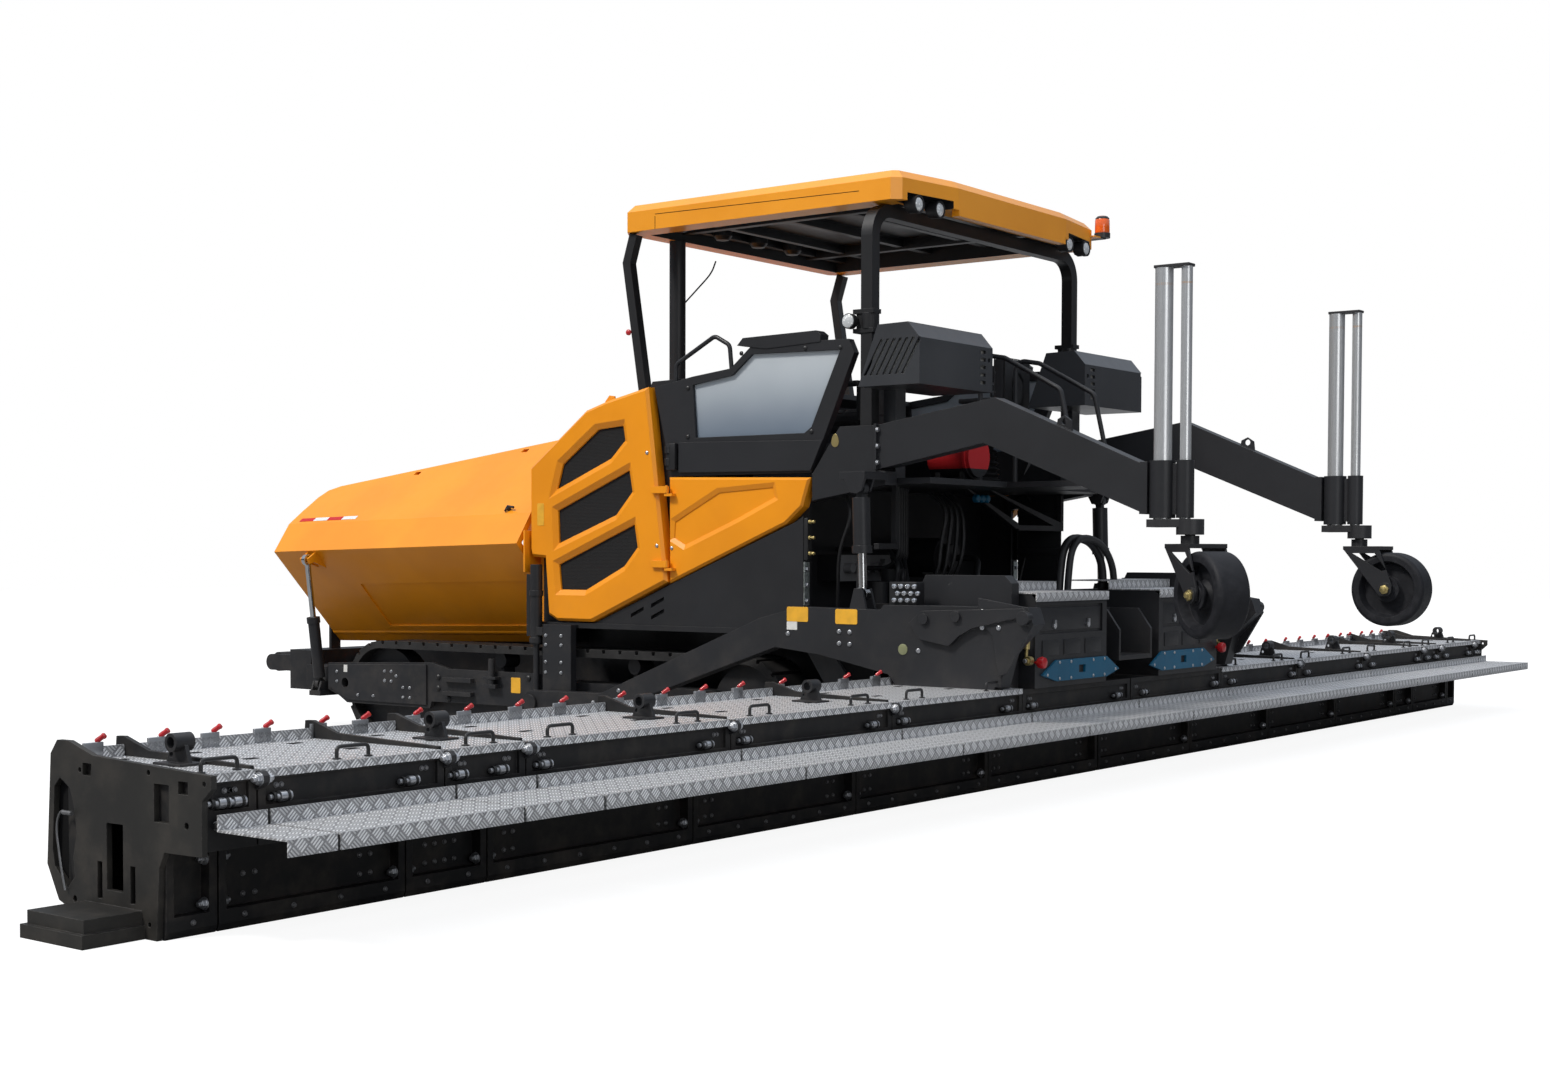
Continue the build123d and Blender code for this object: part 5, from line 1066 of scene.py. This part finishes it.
def console_gear():
    """Sloping panels with screen, keys, levers and a steering wheel before each seat."""
    shell = Piece("console_panels", "tractor", "dark_plastic", PLASTIC)
    glass = Piece("console_screens", "tractor", "clear_glass", SCREEN)
    gloss = Piece("console_levers", "tractor", "dark_plastic", GLOSS_BLACK)
    red = Piece("console_stops", "tractor", "red_plastic", RED_GRIP)
    slope = Vector((-0.10, 0, 0.20)).normalized()
    across = slope.orthogonal().normalized()
    up = slope.cross(across)
    desk = [(2.300, 2.379), (2.556, 2.379), (2.556, 2.500), (2.530, 2.512), (2.312, 2.404)]
    stick = [(0, 0.026), (0.014, 0.018), (0.024, 0.022), (0.036, 0.012), (0.080, 0.009), (0.086, 0.018), (0.110, 0.018),
             (0.118, 0)]
    wheel_r = 0.150
    for side in BOTH:
        shell.prism("Y", desk, 0.520, 0.996, 0.006, side)
        shell.prism("Y", [(2.470, 2.500), (2.540, 2.500), (2.500, 2.680), (2.462, 2.672)], 0.560, 0.790, 0.010, side)
        glass.prism("Y", [(2.466, 2.530), (2.4745, 2.530), (2.4625, 2.655), (2.4540, 2.653)], 0.580, 0.770, 0.001, side)
        foot = spot(2.400, side * 0.900, 2.445)
        hub = foot + slope * 0.21
        rim = ring(hub, across, up, wheel_r, 36)
        gloss.turned([(0, 0.030), (0.20, 0.024), (0.205, 0)], foot, slope, 16)
        gloss.tube(rim + rim[:1], 0.012)
        for turn in (0.5, 2.6, 4.7):
            gloss.tube([hub, hub + (across * math.cos(turn) + up * math.sin(turn)) * wheel_r], 0.009)
        gloss.turned([(-0.01, 0.035), (0.012, 0.035), (0.016, 0)], hub, slope, 16)
        for y in (0.600, 0.690):
            gloss.turned(stick, spot(2.352, side * y, 2.422), slope, 14)
        red.turned([(0, 0.014), (0.016, 0.014), (0.018, 0.024), (0.030, 0.024), (0.034, 0)],
                   spot(2.345, side * 0.775, 2.418), slope, 16)
    keys = [(2.330 + 0.045 * j, 0.815 + 0.035 * i, 2.412 + 0.0223 * j) for i in range(2) for j in range(3)]
    keys += [(2.430, 0.560 + 0.038 * i, 2.462) for i in range(6)]
    fasteners("console_keys", "tractor", "chrome", DULL_ZINC, "dome", 0.018, {tuple(slope): keys})


def bay_details():
    """Blue caps under the floor, the stay of the canopy's front, and the thick hoses between the boxes."""
    caps = Piece("bay_caps", "tractor", "blue_paint", BLUE)
    for y in (-0.090, -0.020, 0.050):
        caps.turned([(0, 0.030), (0.030, 0.030), (0.040, 0.022), (0.042, 0)], spot(0.985, y, 1.935), REAR, 18)
    panel = Piece("bay_panel", "tractor", "charcoal_paint", BAY)
    panel.block(1.000, 1.386, -1.296, -1.280, 1.120, 2.015, 0.004)
    for z in (1.25, 1.55, 1.85):
        panel.block(0.984, 1.386, -1.276, -1.268, z - 0.025, z + 0.025, 0.003)
    lines = Piece("bay_hoses", "tractor", "hose_rubber", HOSE)
    for i in range(4):
        y = 0.16 + 0.085 * i
        lines.hose([(1.130, y, 1.960), (1.020 - 0.012 * i, y, 1.860), (0.985 + 0.014 * i, y + 0.03, 1.600),
                    (1.030, y + 0.05, 1.380), (1.190, y + 0.06, 1.230)], 0.12, 0.0145)
    stay = Piece("canopy_stay", "tractor", "black_steel", SATIN_BLACK)
    stay.hose([(3.100, 0.447, 3.800), (3.100, 0.500, 3.700), (3.110, 0.867, 3.396)], 0.10, 0.006, 8)
    hose = Piece("screed_hoses", "screed", "hose_rubber", HOSE)
    collars = Piece("hose_collars", "screed", "chrome", DULL_ZINC)
    for i, x in enumerate((0.300, 0.232)):
        end = (x, -0.660 - 0.05 * i, 1.268)
        hose.hose([(x, 0.020, 0.690), (x, 0.020, 1.300), (x, -0.060, 1.650), (x, -0.440, 1.640),
                   (x, -0.640 - 0.03 * i, 1.480), end], 0.20, 0.030 - 0.004 * i, 12, 7)
        collars.turned([(0, 0.040), (0.05, 0.040), (0.052, 0.034), (0.07, 0.034)], spot(*end), (0, 0.02, 1), 16)


def wheel_caps():
    """Brass grease caps on the ends of the support wheels' axles."""
    for name, yaw in WHEEL_YAW.items():
        wheel = Span("wheel_" + name)
        middle = Vector(((wheel.x0 + wheel.x1) / 2, (wheel.y0 + wheel.y1) / 2, (wheel.z0 + wheel.z1) / 2))
        axle = Vector((math.sin(-yaw), math.cos(yaw), 0))
        cap = Piece("hub_caps_" + name, "fork_" + name, "brass", BRASS)
        for out in (axle, -axle):
            cap.turned([(0, 0.034), (0.012, 0.034), (0.016, 0.020), (0.030, 0.018), (0.034, 0)], middle + out * 0.1505,
                       out, 6)


# ---------------------------------------------------------------- studio and camera
def aimed(place, target):
    """The rotation of a lamp at place that looks at target."""
    return (Vector(target) - Vector(place)).to_track_quat("-Z", "Y").to_euler()


def studio():
    """White to the camera; to everything else a soft sky with a dim horizon, as gloss needs something to show."""
    world = bpy.data.worlds.new("studio")
    world.use_nodes = True
    bpy.context.scene.world = world
    tree = world.node_tree
    nodes, links = tree.nodes, tree.links
    way, split, sky = (nodes.new(k) for k in ("ShaderNodeTexCoord", "ShaderNodeSeparateXYZ", "ShaderNodeValToRGB"))
    links.new(way.outputs["Generated"], split.inputs[0])
    links.new(split.outputs["Z"], sky.inputs[0])
    bands = ((0.0, (0.30, 0.29, 0.28, 1)), (0.03, (0.05, 0.05, 0.055, 1)), (0.16, (0.07, 0.075, 0.085, 1)),
             (0.30, (0.62, 0.68, 0.78, 1)), (1.0, (0.80, 0.88, 1.00, 1)))
    ramp = sky.color_ramp
    ramp.elements[0].position, ramp.elements[0].color = bands[0]
    ramp.elements[1].position, ramp.elements[1].color = bands[-1]
    for position, colour in bands[1:-1]:
        ramp.elements.new(position).color = colour
    soft, white, pick, ray = (nodes.new("ShaderNode" + k) for k in
                              ("Background", "Background", "MixShader", "LightPath"))
    links.new(sky.outputs["Color"], soft.inputs["Color"])
    soft.inputs["Strength"].default_value = 0.75
    white.inputs["Color"].default_value = (1, 1, 1, 1)
    links.new(ray.outputs["Is Camera Ray"], pick.inputs[0])
    links.new(soft.outputs[0], pick.inputs[1])
    links.new(white.outputs[0], pick.inputs[2])
    links.new(pick.outputs[0], nodes["World Output"].inputs["Surface"])

    floor = bpy.data.meshes.new("floor")
    reach = 60.0
    floor.from_pydata([(-reach, -reach, 0), (reach, -reach, 0), (reach, reach, 0), (-reach, reach, 0)], [],
                      [(0, 1, 2, 3)])
    ground = placed("floor", floor)
    floor.materials.append(ground_finish())

    sun = bpy.data.lights.new("sun", "SUN")
    sun.energy, sun.angle, sun.color = 2.6, math.radians(12), (1.0, 0.96, 0.90)
    placed("sun", sun).rotation_euler = aimed((3.5, 7.5, 9.0), (0, 0, 0))
    for name, place, aim, size, power in (("sky", (-2, 2, 16), (0, 0, 0), 18, 900),
                                          ("fill", (-16, 10, 5), (0, 2, 1.0), 8, 420)):
        lamp = bpy.data.lights.new(name, "AREA")
        lamp.size, lamp.energy = size, power
        holder = placed(name, lamp)
        holder.location = place
        holder.rotation_euler = aimed(place, aim)


def ground_finish():
    """Pale floor: seen, it is white with a faint shadow; to light it is mid grey."""
    material = bpy.data.materials.new("studio_floor")
    material.use_nodes = True
    tree = material.node_tree
    tree.nodes.remove(tree.nodes["Principled BSDF"])
    out = tree.nodes["Material Output"]
    shades = {}
    for name, kind, colour in (("bounce", "ShaderNodeBsdfDiffuse", 0.30), ("shadow", "ShaderNodeBsdfDiffuse", 0.9),
                               ("white", "ShaderNodeEmission", 1.0)):
        shades[name] = tree.nodes.new(kind)
        shades[name].inputs["Color"].default_value = (colour, colour, colour, 1)
    shades["white"].inputs["Strength"].default_value = 1.16
    seen, mixed = tree.nodes.new("ShaderNodeMixShader"), tree.nodes.new("ShaderNodeMixShader")
    seen.inputs[0].default_value = 0.78
    tree.links.new(shades["shadow"].outputs[0], seen.inputs[1])
    tree.links.new(shades["white"].outputs[0], seen.inputs[2])
    ray = tree.nodes.new("ShaderNodeLightPath")
    tree.links.new(ray.outputs["Is Camera Ray"], mixed.inputs[0])
    tree.links.new(shades["bounce"].outputs[0], mixed.inputs[1])
    tree.links.new(seen.outputs[0], mixed.inputs[2])
    tree.links.new(mixed.outputs[0], out.inputs["Surface"])
    return material


def camera():
    """The view from behind on the left, at a standing eye's height."""
    data = bpy.data.cameras.new("view")
    data.sensor_width, data.lens = 36.0, 45.49
    data.shift_y = 0.0472
    data.clip_end = 200
    view = placed("view", data)
    heading, tilt, roll = math.radians(-52.994), math.radians(-1.8925), math.radians(0.162)
    turn = (Matrix.Rotation(heading - math.pi / 2, 4, "Z") @ Matrix.Rotation(math.pi / 2 + tilt, 4, "X")
            @ Matrix.Rotation(roll, 4, "Z"))
    view.matrix_world = Matrix.Translation(spot(-6.5012, 12.4064, 1.5213)) @ turn
    bpy.context.scene.camera = view


# ---------------------------------------------------------------- everything together
bpy.context.scene.view_settings.view_transform = "Standard"
camera()
studio()
dress_cad()
for make in (deck_handles, toggle_clamps, hinge_sleeves, screed_fasteners, deck_slots, cover_details, arm_details,
             valve_bank, end_cable, grille_mesh, panel_plates, side_hardware, hood_lugs, wing_strips, canopy_details,
             fan_screens, post_details, cylinder_hoses, tower_tags, track_rail_details,
             seats, console_gear, bay_details, wheel_caps, mouldboard):
    make()
    while OPEN:
        OPEN[0].finish()
for head in HEADS.values():
    bpy.data.objects.remove(head)
